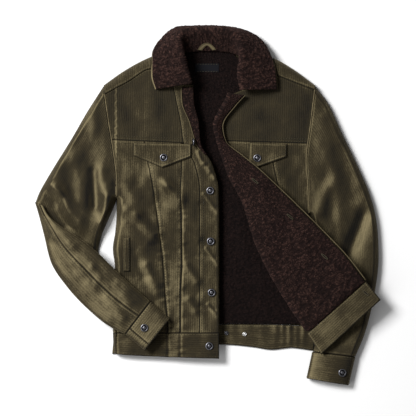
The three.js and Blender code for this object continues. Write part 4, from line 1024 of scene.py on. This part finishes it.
def sherpa(name):
    """Polyester sherpa, knitted and tumbled into curls: matt and deep, with painted shade nearly black
    between the curls and painted highlight on their tips."""
    colours = bpy.context.scene.jacket_colours
    made, tree, shader = material(name)
    grain = stored(tree, "grain", "Vector")
    nub = stored(tree, "nub")
    twist = mottle(tree, grain, 0.40, detail=3.0, roughness=0.6, distortion=0.5)
    broad = mottle(tree, grain, 0.03)
    # painted shade and light: the piece's own painted shade or light from its 'shade' attribute, and by
    # the curls' height painted shade low between them and painted highlight on their tips
    tone = maths(tree, "MULTIPLY_ADD", twist, 1.35, stored(tree, "shade"))
    tone = maths(tree, "MULTIPLY_ADD", nub, 0.42, tone)
    tone = maths(tree, "MULTIPLY_ADD", broad, 0.16, maths(tree, "ADD", tone, -0.53))
    tinted(tree, shader, tone, (0.08, colours.pile_dark), (0.5, colours.pile_mid),
           (0.85, colours.pile_tip))
    bumped(tree, shader, twist, 0.9, 0.0016)
    even(shader, {"Roughness": 0.95, "Specular IOR Level": 0.1, "Sheen Weight": 0.12,
                  "Sheen Roughness": 0.5, "Sheen Tint": linear("#8A6A62")})
    return made


def thread(name):
    """Polyester topstitching thread, twisted and lightly waxed: a small dull glint along it."""
    colours = bpy.context.scene.jacket_colours
    made, tree, shader = material(name)
    place = add(tree, "ShaderNodeTexCoord").outputs["Object"]
    tone = mottle(tree, place, 60.0, detail=1.0)
    tinted(tree, shader, tone, (0.3, linear("#332D1B")), (0.7, colours.thread_tone))
    twist = add(tree, "ShaderNodeTexWave", {"Vector": place, "Scale": 500.0}).outputs[1]
    bumped(tree, shader, twist, 0.3, 0.0002)
    even(shader, {"Roughness": 0.6, "Specular IOR Level": 0.35})
    return made


def gunmetal(name, bright=None, lift=0.0):
    """Pressed steel with a dull dark plating: soft grey reflections, with painted shade in its hollows. A
    bright tone stands for the plating rubbed through."""
    made, tree, shader = material(name)
    place = add(tree, "ShaderNodeTexCoord").outputs["Object"]
    hollow_shade = stored(tree, "hollow_shade")
    patch = mottle(tree, place, 300.0, detail=3.0)
    # painted shade: darker where the button's ring is deepest
    tone = maths(tree, "MULTIPLY_ADD", patch, 0.35, maths(tree, "MULTIPLY", hollow_shade, -0.9))
    tone = maths(tree, "ADD", tone, 0.45 + lift)
    light = linear(bright) if bright else bpy.context.scene.jacket_colours.metal
    tinted(tree, shader, tone, (0.0, linear("#0E0D0D")), (0.75, light))
    rough = maths(tree, "MULTIPLY_ADD", patch, 0.25, 0.26)
    tree.links.new(rough, shader.inputs["Roughness"])
    even(shader, {"Metallic": 1.0})
    return made


def satin(name):
    """Damask-woven satin, near black: close even threads with a soft sheen."""
    made, tree, shader = material(name)
    place = add(tree, "ShaderNodeTexCoord").outputs["Object"]
    weave = add(tree, "ShaderNodeTexWave", {"Vector": place, "Scale": 320.0, "Distortion": 0.6},
                bands_direction="X").outputs[1]
    bumped(tree, shader, weave, 0.4, 0.0002)
    even(shader, {"Base Color": bpy.context.scene.jacket_colours.label, "Roughness": 0.7,
                  "Specular IOR Level": 0.12})
    return made


def paper(name):
    """Seamless studio paper: matt and nearly white, with a faint tooth."""
    made, tree, shader = material(name)
    place = add(tree, "ShaderNodeTexCoord").outputs["Object"]
    bumped(tree, shader, mottle(tree, place, 900.0), 0.1, 0.0001)
    even(shader, {"Base Color": bpy.context.scene.jacket_colours.floor, "Roughness": 0.95})
    return made


def finish_of(obj, name, make):
    """Gives a piece its material, made once."""
    obj.data.materials.clear()
    obj.data.materials.append(bpy.data.materials.get(name) or make(name))


def olive(obj):
    c = bpy.context.scene.jacket_colours
    finish_of(obj, "Cotton corduroy", lambda n: corduroy(
        n, (c.nap_dark[:], c.nap_mid[:], c.nap_light[:])))


def olive_edge(obj):
    c = bpy.context.scene.jacket_colours
    finish_of(obj, "Corduroy, rubbed edge", lambda n: corduroy(
        n, (c.nap_mid[:], c.edge_tone[:], c.nap_light[:]), 0.1))


def pile(obj):
    finish_of(obj, "Sherpa pile", sherpa)


def label_satin(obj):
    finish_of(obj, "Woven satin label", satin)


CLOTHS = {"corduroy": olive, "corduroy_edge": olive_edge, "sherpa": pile, "label_cloth": label_satin}


def lay(name, surface, slot, cut, held="laid", on=(), **wall):
    """Makes one piece of cloth, finishes it for its slot and puts it on the jacket."""
    obj = cloth_wall(name, surface, **wall)
    CLOTHS[slot](obj)
    return placed(obj, name)


# ---- operators ----
class JacketPiece:
    """What every operator here says of itself"""
    bl_options = {"REGISTER"}


class JACKET_OT_left_front(JacketPiece, bpy.types.Operator):
    """Lays the left front's panels, yoke, placket, waistband and rolled edge"""
    bl_idname = "jacket.left_front"
    bl_label = "Left Front"

    def execute(self, context):
        rows = [
            ("left_side_panel", left_panel(left_side_x, left["seam_a"]), (0.115, 0.415),
             {"floor": RIM_Z, "seams": (0, 1, 1, 1)}),
            ("left_middle_panel", left_panel(left["seam_a"], left["seam_b"]), (0.052, 0.41), {}),
            ("left_centre_panel", centre_panel, (0.042, 0.385), {}),
            # painted shade: the yoke a little darker than the panels
            ("left_yoke", left_yoke, (0.165, 0.14), {"shade": -0.07}),
            ("left_placket", left_placket, (0.055, 0.535), {"u": (0, 2.35)}),
        ]
        for name, surface, cut, extra in rows:
            lay(name, surface, "corduroy", cut, on=["back_panel"], **extra)
        # painted shade: the waistband a little darker than the panels
        lay("left_waistband", waistband_left, "corduroy", (0.24, 0.055), held="folded",
            on=["back_waistband"], thick=BAND, floor=RIM_Z + BAND_UNDER, wales="u", seams=(0, 1, 1, 0),
            rim=1.0, shade=-0.06)
        lay("left_lining_roll", rolled_lining, "sherpa", (0.024, 0.146), on=["left_placket"],
            skin=PILE, thick=PILE, seed=4, pile=1.0, rim=1.0)
        lay("left_edge_binding", rolled_edge, "corduroy_edge", (0.01, 0.1), held="folded",
            on=["left_placket"], skin=PILE + 1, thick=PILE + 1, cell=BINDING_CELL, wales="v", rim=0.3)
        return {"FINISHED"}


class JACKET_OT_right_front(JacketPiece, bpy.types.Operator):
    """Lays the right front, turned back on itself, with its lining and the turned waistband"""
    bl_idname = "jacket.right_front"
    bl_label = "Right Front"

    def execute(self, context):
        rows = [
            ("right_side_panel", (0.06, 0.37), {"u": (0, SEAM_A_R), "v": (YOKE_AT, 0.93),
                                                "floor": RIM_Z, "seams": (0, 1, 1, 1)}),
            ("right_front_panel", (0.15, 0.43), {"u": (SEAM_A_R, SEAM_B_R), "v": (YOKE_AT, 1)}),
            ("right_placket", (0.03, 0.43), {"u": (SEAM_B_R, 3), "v": (YOKE_AT, 1)}),
            # painted shade: the yoke a little darker than the panels
            ("right_yoke", (0.22, 0.125), {"u": (0, 3), "v": (0, YOKE_AT), "shade": -0.1}),
        ]
        for name, cut, extra in rows:
            lay(name, right_front, "corduroy", cut, held="folded", on=["back_panel"], side=-1, **extra)
        lay("right_lining", right_front, "sherpa", (0.15, 0.55), held="folded",
            on=["right_front_panel"], u=(0.72, 2.985), side=-1, skin=-CLOTH - LINING_GAP, thick=PILE,
            visible="inner", seams=(0, 0, 0, 1), pile=1.0, rim=0.6, seed=2)
        lay("right_edge_binding", right_edge, "corduroy_edge", (0.01, 0.45), held="folded",
            on=["right_placket"], side=-1, thick=LINING_OUT - 1, cell=BINDING_CELL, wales="v", rim=0.3,
            seams=(0, 0, 0, 0))
        lay("right_waistband", waistband_turned, "corduroy", (0.175, 0.055), held="folded",
            on=["right_front_panel"], thick=BAND, wales="u", rim=1.0, seams=(0, 0, 2, 0))
        return {"FINISHED"}


class JACKET_OT_sleeves(JacketPiece, bpy.types.Operator):
    """Lays both sleeves, the folded forearm and the cuffs"""
    bl_idname = "jacket.sleeves"
    bl_label = "Sleeves and Cuffs"

    def execute(self, context):
        sleeve_l = sleeve(sleeve_out_l, sleeve_in_l, armhole_l, height_l)
        sleeve_r = sleeve(sleeve_out_r, sleeve_in_r, armhole_r, height_r)
        turn = math.acos(1 - 2 * FOREARM_SEAM) / (2 * math.pi)
        forearm = flat_tube(FOREARM_ROWS, relief_forearm)
        top = {"seams": (0, 0, 2, 0), "floor": RIM_Z}
        under = {"flat_low": 0.0, "seams": (0, 0, 4, 0), "cell": 8.0}
        folded_arm = {"side": -1, "seams": (2, 2, 0, 1), "floor": 0.0}
        rows = [
            ("left_upper_sleeve", sleeve_l, (0.16, 0.27), top),
            ("right_top_sleeve", sleeve_r, (0.135, 0.55), {**top, "side": -1, "cell": 3.0}),
            ("left_under_sleeve", lambda u, v: sleeve_l(u, v) * (1, 1, 0) + (0, 0, CLOTH),
             (0.14, 0.27), under),
            ("right_under_sleeve", lambda u, v: sleeve_r(u, v) * (1, 1, 0) + (0, 0, CLOTH),
             (0.125, 0.55), under),
            ("left_forearm_front", forearm, (0.08, 0.31), {**folded_arm, "u": (turn - 0.45, turn)}),
            ("left_forearm_back", forearm, (0.12, 0.31), {**folded_arm, "u": (turn, turn + 0.55)}),
        ]
        for name, surface, cut, extra in rows:
            lay(name, surface, "corduroy", cut, on=["back_panel"], wales="v", **extra)
        for name, cuff_rows, slit, side, seams in (
                ("left_cuff", CUFF_L_ROWS, 0.36, -1, (1, 1, 4, 0)),
                ("right_cuff", CUFF_R_ROWS, 0.43, 1, (1, 1, 1, 0))):
            lay(name, flat_tube(cuff_rows), "corduroy", (0.215, 0.06), held="folded",
                on=["back_panel"], u=(slit, slit + 1), thick=BAND, side=side, seams=seams, floor=0.0,
                wales="u", rim=1.0)
        return {"FINISHED"}


class JACKET_OT_back(JacketPiece, bpy.types.Operator):
    """Lays the back, its yoke over the shoulders, its waistband, its lining and the label"""
    bl_idname = "jacket.back"
    bl_label = "Back"

    def execute(self, context):
        lay("back_panel", back_panel, "corduroy", (0.44, 0.43), on=["stage_floor"], flat_low=0.0,
            cell=4.0)
        obj = self.yoke(context)
        olive(obj)
        placed(obj, "back_yoke")
        lay("back_waistband", back_waistband, "corduroy", (0.44, 0.055), on=["stage_floor"],
            flat_low=0.0, wales="u", rim=1.0)
        # painted shade: the lining darker, as it lies deep in the opening between the fronts
        lay("back_lining", back_lining, "sherpa", (0.26, 0.58), on=["back_panel"], flat_low=RIM_Z,
            rim=0.0, seed=1, shade=-0.22, pile=1.0)
        lay("neck_label", self.label, "label_cloth", (0.052, 0.019), on=["back_lining"], thick=1.0,
            cell=BINDING_CELL, rim=0.3)
        return {"FINISHED"}

    @staticmethod
    def label(u, v):
        """The label, waved a little between its two rows of stitches."""
        wave = 0.25 * np.sin(u * 9) * (v - 0.2)
        return point(LABEL_AT[0] + LABEL_SIZE[0] * (u - 0.5), LABEL_AT[1] - LABEL_SIZE[1] * (v - 0.5),
                     RIM_Z + PILE + LABEL_OVER + wave)

    def yoke(self, context):
        """The lying part and both shoulder strips as one piece."""
        strip_l = shoulder_strip(shoulder_l, 0.66, lambda v: left_yoke(0.62 * v, v * 0), height_l)
        strip_r = shoulder_strip(shoulder_r, 0.60, lambda v: right_front(SHOULDER_PEAK * v, v * 0),
                                 height_r)
        parts = [cloth_wall("back_yoke", back_yoke, flat_low=0.0, cell=4.0),
                 cloth_wall("strip_left", strip_l, floor=0.0, seams=(0, 1, 2, 0)),
                 cloth_wall("strip_right", strip_r, floor=0.0, seams=(0, 1, 2, 0), side=-1)]
        with context.temp_override(active_object=parts[0], selected_editable_objects=parts,
                                   object=parts[0]):
            bpy.ops.object.join()
        return parts[0]


class JACKET_OT_collar(JacketPiece, bpy.types.Operator):
    """Rolls the sherpa collar over its undercollar and sews in the hanger loop"""
    bl_idname = "jacket.collar"
    bl_label = "Collar"

    def execute(self, context):
        # painted light: the collar a little paler than the other sherpa, as it faces the light
        lay("collar", collar, "sherpa", (0.52, 0.08), held="folded", on=["back_yoke"], u=(0, 1.96),
            skin=PILE, thick=PILE, seed=3, rim=1.2, shade=0.04, pile=1.1, seams=(0, 0, 0, 0))
        lay("undercollar", collar, "corduroy_edge", (0.52, 0.042), held="folded", on=["back_yoke"],
            u=(1.225, 2), skin=-0.8, thick=1.6, rim=0.2, seams=(0, 0, 0, 0), wales="v")
        lay("hanger_loop", self.loop, "corduroy_edge", (0.01, 0.05), on=["collar"],
            skin=PILE + LIE + 2.8, thick=1.4, cell=0.8, wales="v", rim=0.2, seams=(0, 0, 0, 0))
        return {"FINISHED"}

    @staticmethod
    def loop(u, v):
        """An arch of tape on the collar's stand."""
        arch = np.sin(np.pi * mix(0.06, 0.94, v))
        around = mix(0.475, 0.545, v) - (u - 0.5) * 0.02 * np.cos(np.pi * v)
        return collar(0.04 + 0.3 * arch + (u - 0.5) * 0.12 * np.maximum(arch, 0.3), around)


class JACKET_OT_pockets(JacketPiece, bpy.types.Operator):
    """Lays the pocket flaps and the hand pocket's welt"""
    bl_idname = "jacket.pockets"
    bl_label = "Pockets"

    FLAP_WALL = 2.6
    WELT_WALL = 1.6

    def execute(self, context):
        for name, cut, on in (("left", (0.125, 0.053), "left_yoke"),
                              ("right", (0.082, 0.053), "right_front_panel")):
            lay(f"{name}_pocket_flap", flap(name), "corduroy", cut, held="folded", on=[on],
                skin=LIE + self.FLAP_WALL, thick=self.FLAP_WALL, rim=1.1, seams=(0, 0, 2, 0), cell=1.6)
        lay("left_pocket_welt", pocket_welt, "corduroy", (0.014, 0.074), on=["left_side_panel"],
            skin=LIE + self.WELT_WALL, thick=self.WELT_WALL, rim=0.6, cell=1.6)
        return {"FINISHED"}


class JACKET_OT_buttons(JacketPiece, bpy.types.Operator):
    """Turns and sets the shank buttons and studs"""
    bl_idname = "jacket.buttons"
    bl_label = "Buttons"

    BARE_STUD = "waist_stud_1"   # its plating is rubbed through
    TILTS = {"front_button_1": -1.4, "right_cuff_button": 0.16}   # in radians, about +Y
    SIDES = 48
    STUD_SQUASH = 0.65           # a stud's height as a share of a button's

    # a shank button's section from its foot over the rim into the ring and the middle: radius as a
    # share of its width, and height in millimetres
    SECTION = [(0.0, 0.0), (0.30, 0.0), (0.43, 0.25), (0.49, 0.8), (0.5, 1.5), (0.488, 2.1),
               (0.455, 2.6), (0.41, 2.9), (0.365, 2.85), (0.33, 2.5), (0.305, 2.1), (0.27, 1.95),
               (0.24, 2.1), (0.215, 2.6), (0.18, 3.0), (0.12, 3.15), (0.05, 3.2), (0.0, 3.2)]
    # how deep in the ring each of those places lies, from 0 to 1, for the painted shade in its hollows
    HOLLOW_SHADE = [0, 0, 0, 0, 0, 0, 0, 0, 0.2, 0.7, 1, 1, 1, 0.6, 0.1, 0, 0, 0]

    def execute(self, context):
        angle = np.linspace(0, 2 * np.pi, self.SIDES, endpoint=False)
        hollow_shade = np.repeat(self.HOLLOW_SHADE[1:-1], self.SIDES)
        hollow_shade = np.concatenate([hollow_shade, [0, 0]]).astype(float)
        quads, ends = ring_faces(self.SIDES, len(self.SECTION) - 2)
        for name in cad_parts:
            if "button" not in name and "stud" not in name:
                continue
            low, high = (np.array(c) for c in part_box(name))
            shank = "button" in name
            size = context.scene.jacket_sizes.button if shank else high[0] - low[0]
            squash = 1 if shank else self.STUD_SQUASH
            rings = [np.stack([r * size * np.cos(angle), r * size * np.sin(angle),
                               angle * 0 + h * MM * squash], -1) for r, h in self.SECTION[1:-1]]
            top = self.SECTION[-1][1] * MM * squash
            points = np.concatenate([*rings, [[0, 0, 0], [0, 0, top]]])
            points = points @ np.array(Matrix.Rotation(self.TILTS.get(name, 0.0), 3, "Y")).T
            points = points - (points.min(0) + points.max(0)) / 2 + (low + high) / 2
            obj = mesh_of(f"{name}_turned", points, quads, ends, {"hollow_shade": hollow_shade})
            if name == self.BARE_STUD:
                finish_of(obj, "Bare stud, rubbed bright", lambda n: gunmetal(n, "#F2F2F0", 0.5))
            else:
                finish_of(obj, "Gunmetal plated steel", gunmetal)
            placed(obj, name)
        return {"FINISHED"}


class JACKET_OT_stitching(JacketPiece, bpy.types.Operator):
    """Runs the rows of topstitching along the seams and edges"""
    bl_idname = "jacket.stitching"
    bl_label = "Stitching"

    # piece, border, distances of the rows in from it, and from and to what share of the border
    # where a row doesn't run all along it
    TWIN = (2.5, 8.0)
    WIDE_TWIN = (3.0, 9.0)
    ROWS = [
        ("left_yoke", "v1", WIDE_TWIN), ("left_yoke", "v0", (3.0,), 0, 0.62),
        ("left_middle_panel", "u0", TWIN), ("left_middle_panel", "u1", TWIN),
        ("left_placket", "u0", TWIN), ("left_yoke", "u0", (2.5,)),
        ("left_waistband", "v0", (3.0,)), ("left_waistband", "v1", (4.0,)),
        ("left_pocket_flap", "u0", TWIN), ("left_pocket_flap", "u1", TWIN),
        ("left_pocket_flap", "v1", TWIN),
        ("right_pocket_flap", "u1", TWIN), ("right_pocket_flap", "v1", TWIN),
        ("right_yoke", "v1", WIDE_TWIN, 0, 0.33), ("right_side_panel", "u1", TWIN),
        ("right_waistband", "v0", (3.0,)), ("right_waistband", "v1", (4.0,)),
        ("left_forearm_back", "u0", TWIN),
        ("left_cuff", "v0", (3.0,)), ("left_cuff", "v1", (4.0,)), ("left_cuff", "u0", (3.0,)),
        ("right_cuff", "v0", (3.0,)), ("right_cuff", "v1", (4.0,)), ("right_cuff", "u0", (3.0,)),
        ("back_waistband", "v0", (3.0,)), ("back_waistband", "v1", (4.0,)),
        ("left_pocket_welt", "u0", (2.0,)), ("left_pocket_welt", "u1", (2.0,)),
        ("strip_left", "u1", WIDE_TWIN), ("strip_right", "u1", WIDE_TWIN),
        ("neck_label", "v0", (1.5,)), ("neck_label", "v1", (1.5,)),
    ]
    SIDES = 6
    RINGS = 3
    LOWEST = 1.0        # thread stays this far over the floor

    def execute(self, context):
        sizes = context.scene.jacket_sizes
        groups = {}
        for name, border, insets, *share in self.ROWS:
            for inset in insets:
                path, away = self.row(LAID[name], border, inset, *(share or (0, 1)))
                groups.setdefault(name.split("_")[0], []).append(
                    self.stitches(path, away, sizes.stitch / MM, sizes.stitch_gap / MM, sizes.thread / MM))
        for group, runs in groups.items():
            points, quads, tips, shift = [], [], [], 0
            for p, q, t in runs:
                points.append(p)
                quads.append(q + shift)
                tips.append(t + shift)
                shift += len(p)
            obj = mesh_of(f"thread_{group}", np.concatenate(points) * MM + SHIFT, np.concatenate(quads),
                          np.concatenate(tips))
            finish_of(obj, "Topstitching thread", thread)
            placed(obj)
        return {"FINISHED"}

    def row(self, laid, border, inset, start, end):
        """A path on a piece, some way in from one border, and the ways off the cloth along it."""
        grid, away, run = laid["grid"], laid["away"], laid["dv"]
        if border[0] == "u":
            grid, away, run = grid.transpose(1, 0, 2), away.transpose(1, 0, 2), laid["du"].T
        if border[1] == "1":
            grid, away, run = grid[:, ::-1], away[:, ::-1], run[:, -1:] - run[:, ::-1]
        keep = slice(int(start * (len(grid) - 1)), int(end * (len(grid) - 1)) + 1)
        path, out = (np.array([[np.interp(inset, r, line_of[:, k]) for k in range(3)]
                               for line_of, r in zip(lines[keep], run[keep])])
                     for lines in (grid, away))
        path[:, 2] = np.maximum(path[:, 2], self.LOWEST)
        return path, unit(out)

    def stitches(self, path, away, size, gap, radius):
        """Plump beads of thread along a path, sunk a third into the cloth."""
        along = np.concatenate([[0], np.cumsum(np.linalg.norm(np.diff(path, axis=0), axis=1))])
        starts = np.arange(size, along[-1] - size, size + gap)
        places = np.clip(starts[:, None] + np.linspace(0, size, self.RINGS + 2), 0, along[-1])
        centre, up = (np.stack([np.interp(places, along, lines[:, k]) for k in range(3)], -1)
                      for lines in (path, away))
        up = unit(up)
        sidewise = unit(np.cross(unit(np.gradient(centre, axis=1)), up))
        centre = centre + up * radius * np.array([0.0, 0.45, 0.6, 0.45, 0.0])[:, None]
        angle = np.linspace(0, 2 * np.pi, self.SIDES, endpoint=False)
        thick = radius * np.array([0.85, 1.0, 0.85])
        rings = (centre[:, 1:4, None] + (up[:, 1:4, None] * np.sin(angle)[:, None]
                 + sidewise[:, 1:4, None] * np.cos(angle)[:, None]) * thick[:, None, None])
        count, ringed = len(starts), self.SIDES * self.RINGS
        points = np.concatenate([rings.reshape(count, ringed, 3), centre[:, [0, 4]]], 1).reshape(-1, 3)
        quads, tips = ring_faces(self.SIDES, self.RINGS)
        base = np.arange(count)[:, None, None] * (ringed + 2)
        return points, (quads + base).reshape(-1, 4), (tips + base).reshape(-1, 3)


def tube(path, up, radius, sides=8):
    """A round strand along a path, closed at both ends: its points, quads and end triangles."""
    along = unit(np.gradient(path, axis=0))
    across = unit(np.cross(along, up))
    rise = np.cross(across, along)
    angle = np.linspace(0, 2 * np.pi, sides, endpoint=False)[:, None]
    radius = np.broadcast_to(radius, len(path))[:, None, None]
    rings = path[:, None] + radius * (across[:, None] * np.cos(angle) + rise[:, None] * np.sin(angle))
    points = np.concatenate([rings.reshape(-1, 3), path[[0, -1]]])
    return points, *ring_faces(sides, len(path))


class JACKET_OT_seam_edges(JacketPiece, bpy.types.Operator):
    """Raises the armhole seams' turned edges, which the brushed cloth shows pale"""
    bl_idname = "jacket.seam_edges"
    bl_label = "Seam Edges"

    OFF_SEAM = 1.6      # how far beside the armhole line the edge lies
    RADIUS = 1.25

    def execute(self, context):
        t = np.linspace(0, 1, 140)
        for name, hole, height, shift in (("armhole_left", armhole_l, height_l, self.OFF_SEAM),
                                          ("armhole_right", armhole_r, height_r, -self.OFF_SEAM)):
            at = hole(mix(0.02, 0.97, t))
            x, y = at[:, 0] + shift, at[:, 1]
            z = height(x, y) + 0.25 + 0.25 * noise(t * 30, t * 0, 6)
            points, quads, tips = tube(point(x, y, z), UP, self.RADIUS + 0.2 * noise(t * 40, t * 0, 8))
            grain = np.stack([points[:, 1] * 0, points[:, 1], points[:, 1] * 0 + 1.0], -1)
            obj = mesh_of(name, points * MM + SHIFT, quads, tips,
                          {"grain": grain, "shade": np.full(len(points), 0.06)})
            olive_edge(obj)
            placed(obj)
        return {"FINISHED"}


class JACKET_OT_buttonholes(JacketPiece, bpy.types.Operator):
    """Works the buttonholes of the turned front: a slit painted dark for the shade in it, in a bead of
    thread
    """
    bl_idname = "jacket.buttonholes"
    bl_label = "Buttonholes"

    # piece, middle, how the slit lies in degrees from +X, and how far it stands over the cloth
    HOLES = [("right_lining", 102, 54, -38, 1.2), ("right_lining", 177, -22, -40, 1.2),
             ("right_lining", 250, -107, -40, 1.2), ("right_waistband", 338, -185, -42, 0.3)]
    BEAD = (8.5, 1.7)   # half the length and half the width of the bead
    SLIT = (8.0, 1.3)
    BELOW = 0.6         # how far the slit's body reaches into the cloth
    AROUND = 28

    def execute(self, context):
        t = np.linspace(0, 2 * np.pi, self.AROUND)
        for number, (piece, x, y, angle, over) in enumerate(self.HOLES, 1):
            grid = LAID[piece]["grid"].reshape(-1, 3)
            near = np.argmin(np.hypot(grid[:, 0] - x, grid[:, 1] - y) - 0.02 * grid[:, 2])
            middle = grid[near] + np.array([0, 0, over])
            along = np.array([math.cos(math.radians(angle)), math.sin(math.radians(angle)), 0.12])
            across = np.array([-along[1], along[0], 0])
            path, ring = (middle + half_long * np.cos(t)[:, None] * along
                          + half_wide * np.sin(t)[:, None] * across
                          for half_long, half_wide in (self.BEAD, self.SLIT))
            points, quads, tips = tube(path, UP, 0.75, 6)
            obj = mesh_of(f"buttonhole_thread_{number}", points * MM + SHIFT, quads, tips)
            finish_of(obj, "Topstitching thread", thread)
            placed(obj)
            ring = ring[:-1]
            points = np.concatenate([ring - (0, 0, self.BELOW), ring + (0, 0, 0.25),
                                     [middle - (0, 0, self.BELOW), middle + (0, 0, 0.1)]])
            flat = points[:, 0] * 0
            # painted shade: the slit's body is nearly black for the shade down in the hole
            slit = mesh_of(f"buttonhole_slit_{number}", points * MM + SHIFT, *ring_faces(len(ring), 2),
                           {"grain": points, "nub": flat, "shade": flat - 0.6})
            pile(slit)
            placed(slit)
        return {"FINISHED"}


class JACKET_OT_stage(JacketPiece, bpy.types.Operator):
    """Sets the floor, the studio light and the camera straight above"""
    bl_idname = "jacket.stage"
    bl_label = "Stage"

    FLOOR_HALF = 4.0            # metres, as are the other sizes here
    FLOOR_Z = -0.0006
    # place, width and power of each lamp
    LAMPS = {"key_light": ((-3.1, 2.0, 3.7), 1.9, 395.0), "fill_light": ((-1.9, -1.4, 1.6), 1.6, 16.0)}
    WORLD_LIGHT = 0.2
    EYE_HEIGHT = 6.0
    VIEW_HEIGHT = 0.02          # the height at which the view is as wide as it should be
    VIEW_WIDTH = 0.8944
    VIEW_SHIFT = (0.0015, -0.0055)
    SENSOR = 36.0

    def execute(self, context):
        scene = context.scene
        half = self.FLOOR_HALF
        floor = bpy.data.meshes.new("stage_floor")
        floor.from_pydata([(x, y, self.FLOOR_Z) for x, y in (
            (-half, -half), (half, -half), (half, half), (-half, half))], [], [(0, 1, 2, 3)])
        obj = bpy.data.objects.new("stage_floor", floor)
        scene.collection.objects.link(obj)
        finish_of(obj, "Studio paper", paper)
        for name, (at, wide, power) in self.LAMPS.items():
            lamp = bpy.data.lights.new(name, "AREA")
            lamp.energy, lamp.size = power, wide
            holder = bpy.data.objects.new(name, lamp)
            holder.location = at
            holder.rotation_euler = (-Vector(at)).to_track_quat("-Z", "Y").to_euler()
            scene.collection.objects.link(holder)
        world = bpy.data.worlds.new("studio")
        world.use_nodes = True
        background = world.node_tree.nodes["Background"].inputs
        background[0].default_value = (1.0, 1.0, 1.0, 1.0)
        background[1].default_value = self.WORLD_LIGHT
        scene.world = world
        scene.view_settings.view_transform = "Standard"
        camera = bpy.data.cameras.new("overhead")
        camera.sensor_width = self.SENSOR
        camera.lens = self.SENSOR * (self.EYE_HEIGHT - self.VIEW_HEIGHT) / self.VIEW_WIDTH
        camera.clip_end = 50.0
        eye = bpy.data.objects.new("overhead", camera)
        low, high = CAD_BOX
        eye.location = ((low.x + high.x) / 2 + self.VIEW_SHIFT[0],
                        (low.y + high.y) / 2 + self.VIEW_SHIFT[1], self.EYE_HEIGHT)
        scene.collection.objects.link(eye)
        scene.camera = eye
        return {"FINISHED"}


class JACKET_PT_panel(bpy.types.Panel):
    """Lists the jacket's pieces and sizes"""
    bl_idname = "JACKET_PT_panel"
    bl_label = "Jacket"
    bl_space_type = "VIEW_3D"
    bl_region_type = "UI"
    bl_category = "Jacket"

    def draw(self, context):
        layout = self.layout
        for operator in OPERATORS:
            layout.operator(operator.bl_idname)
        for group in (context.scene.jacket_sizes, context.scene.jacket_colours):
            for key in type(group).__annotations__:
                layout.prop(group, key)


OPERATORS = (JACKET_OT_back, JACKET_OT_left_front, JACKET_OT_right_front, JACKET_OT_sleeves,
             JACKET_OT_collar, JACKET_OT_pockets, JACKET_OT_buttons, JACKET_OT_stitching,
             JACKET_OT_seam_edges, JACKET_OT_buttonholes, JACKET_OT_stage)
CLASSES = (JACKET_PG_sizes, JACKET_PG_colours, *OPERATORS, JACKET_PT_panel)


def register():
    for cls in CLASSES:
        bpy.utils.register_class(cls)
    bpy.types.Scene.jacket_sizes = bpy.props.PointerProperty(type=JACKET_PG_sizes)
    bpy.types.Scene.jacket_colours = bpy.props.PointerProperty(type=JACKET_PG_colours)


def unregister():
    del bpy.types.Scene.jacket_colours
    del bpy.types.Scene.jacket_sizes
    for cls in reversed(CLASSES):
        bpy.utils.unregister_class(cls)


def main():
    register()
    for operator in OPERATORS:
        group, name = operator.bl_idname.split(".")
        getattr(getattr(bpy.ops, group), name)()


if __name__ == "__main__":
    main()
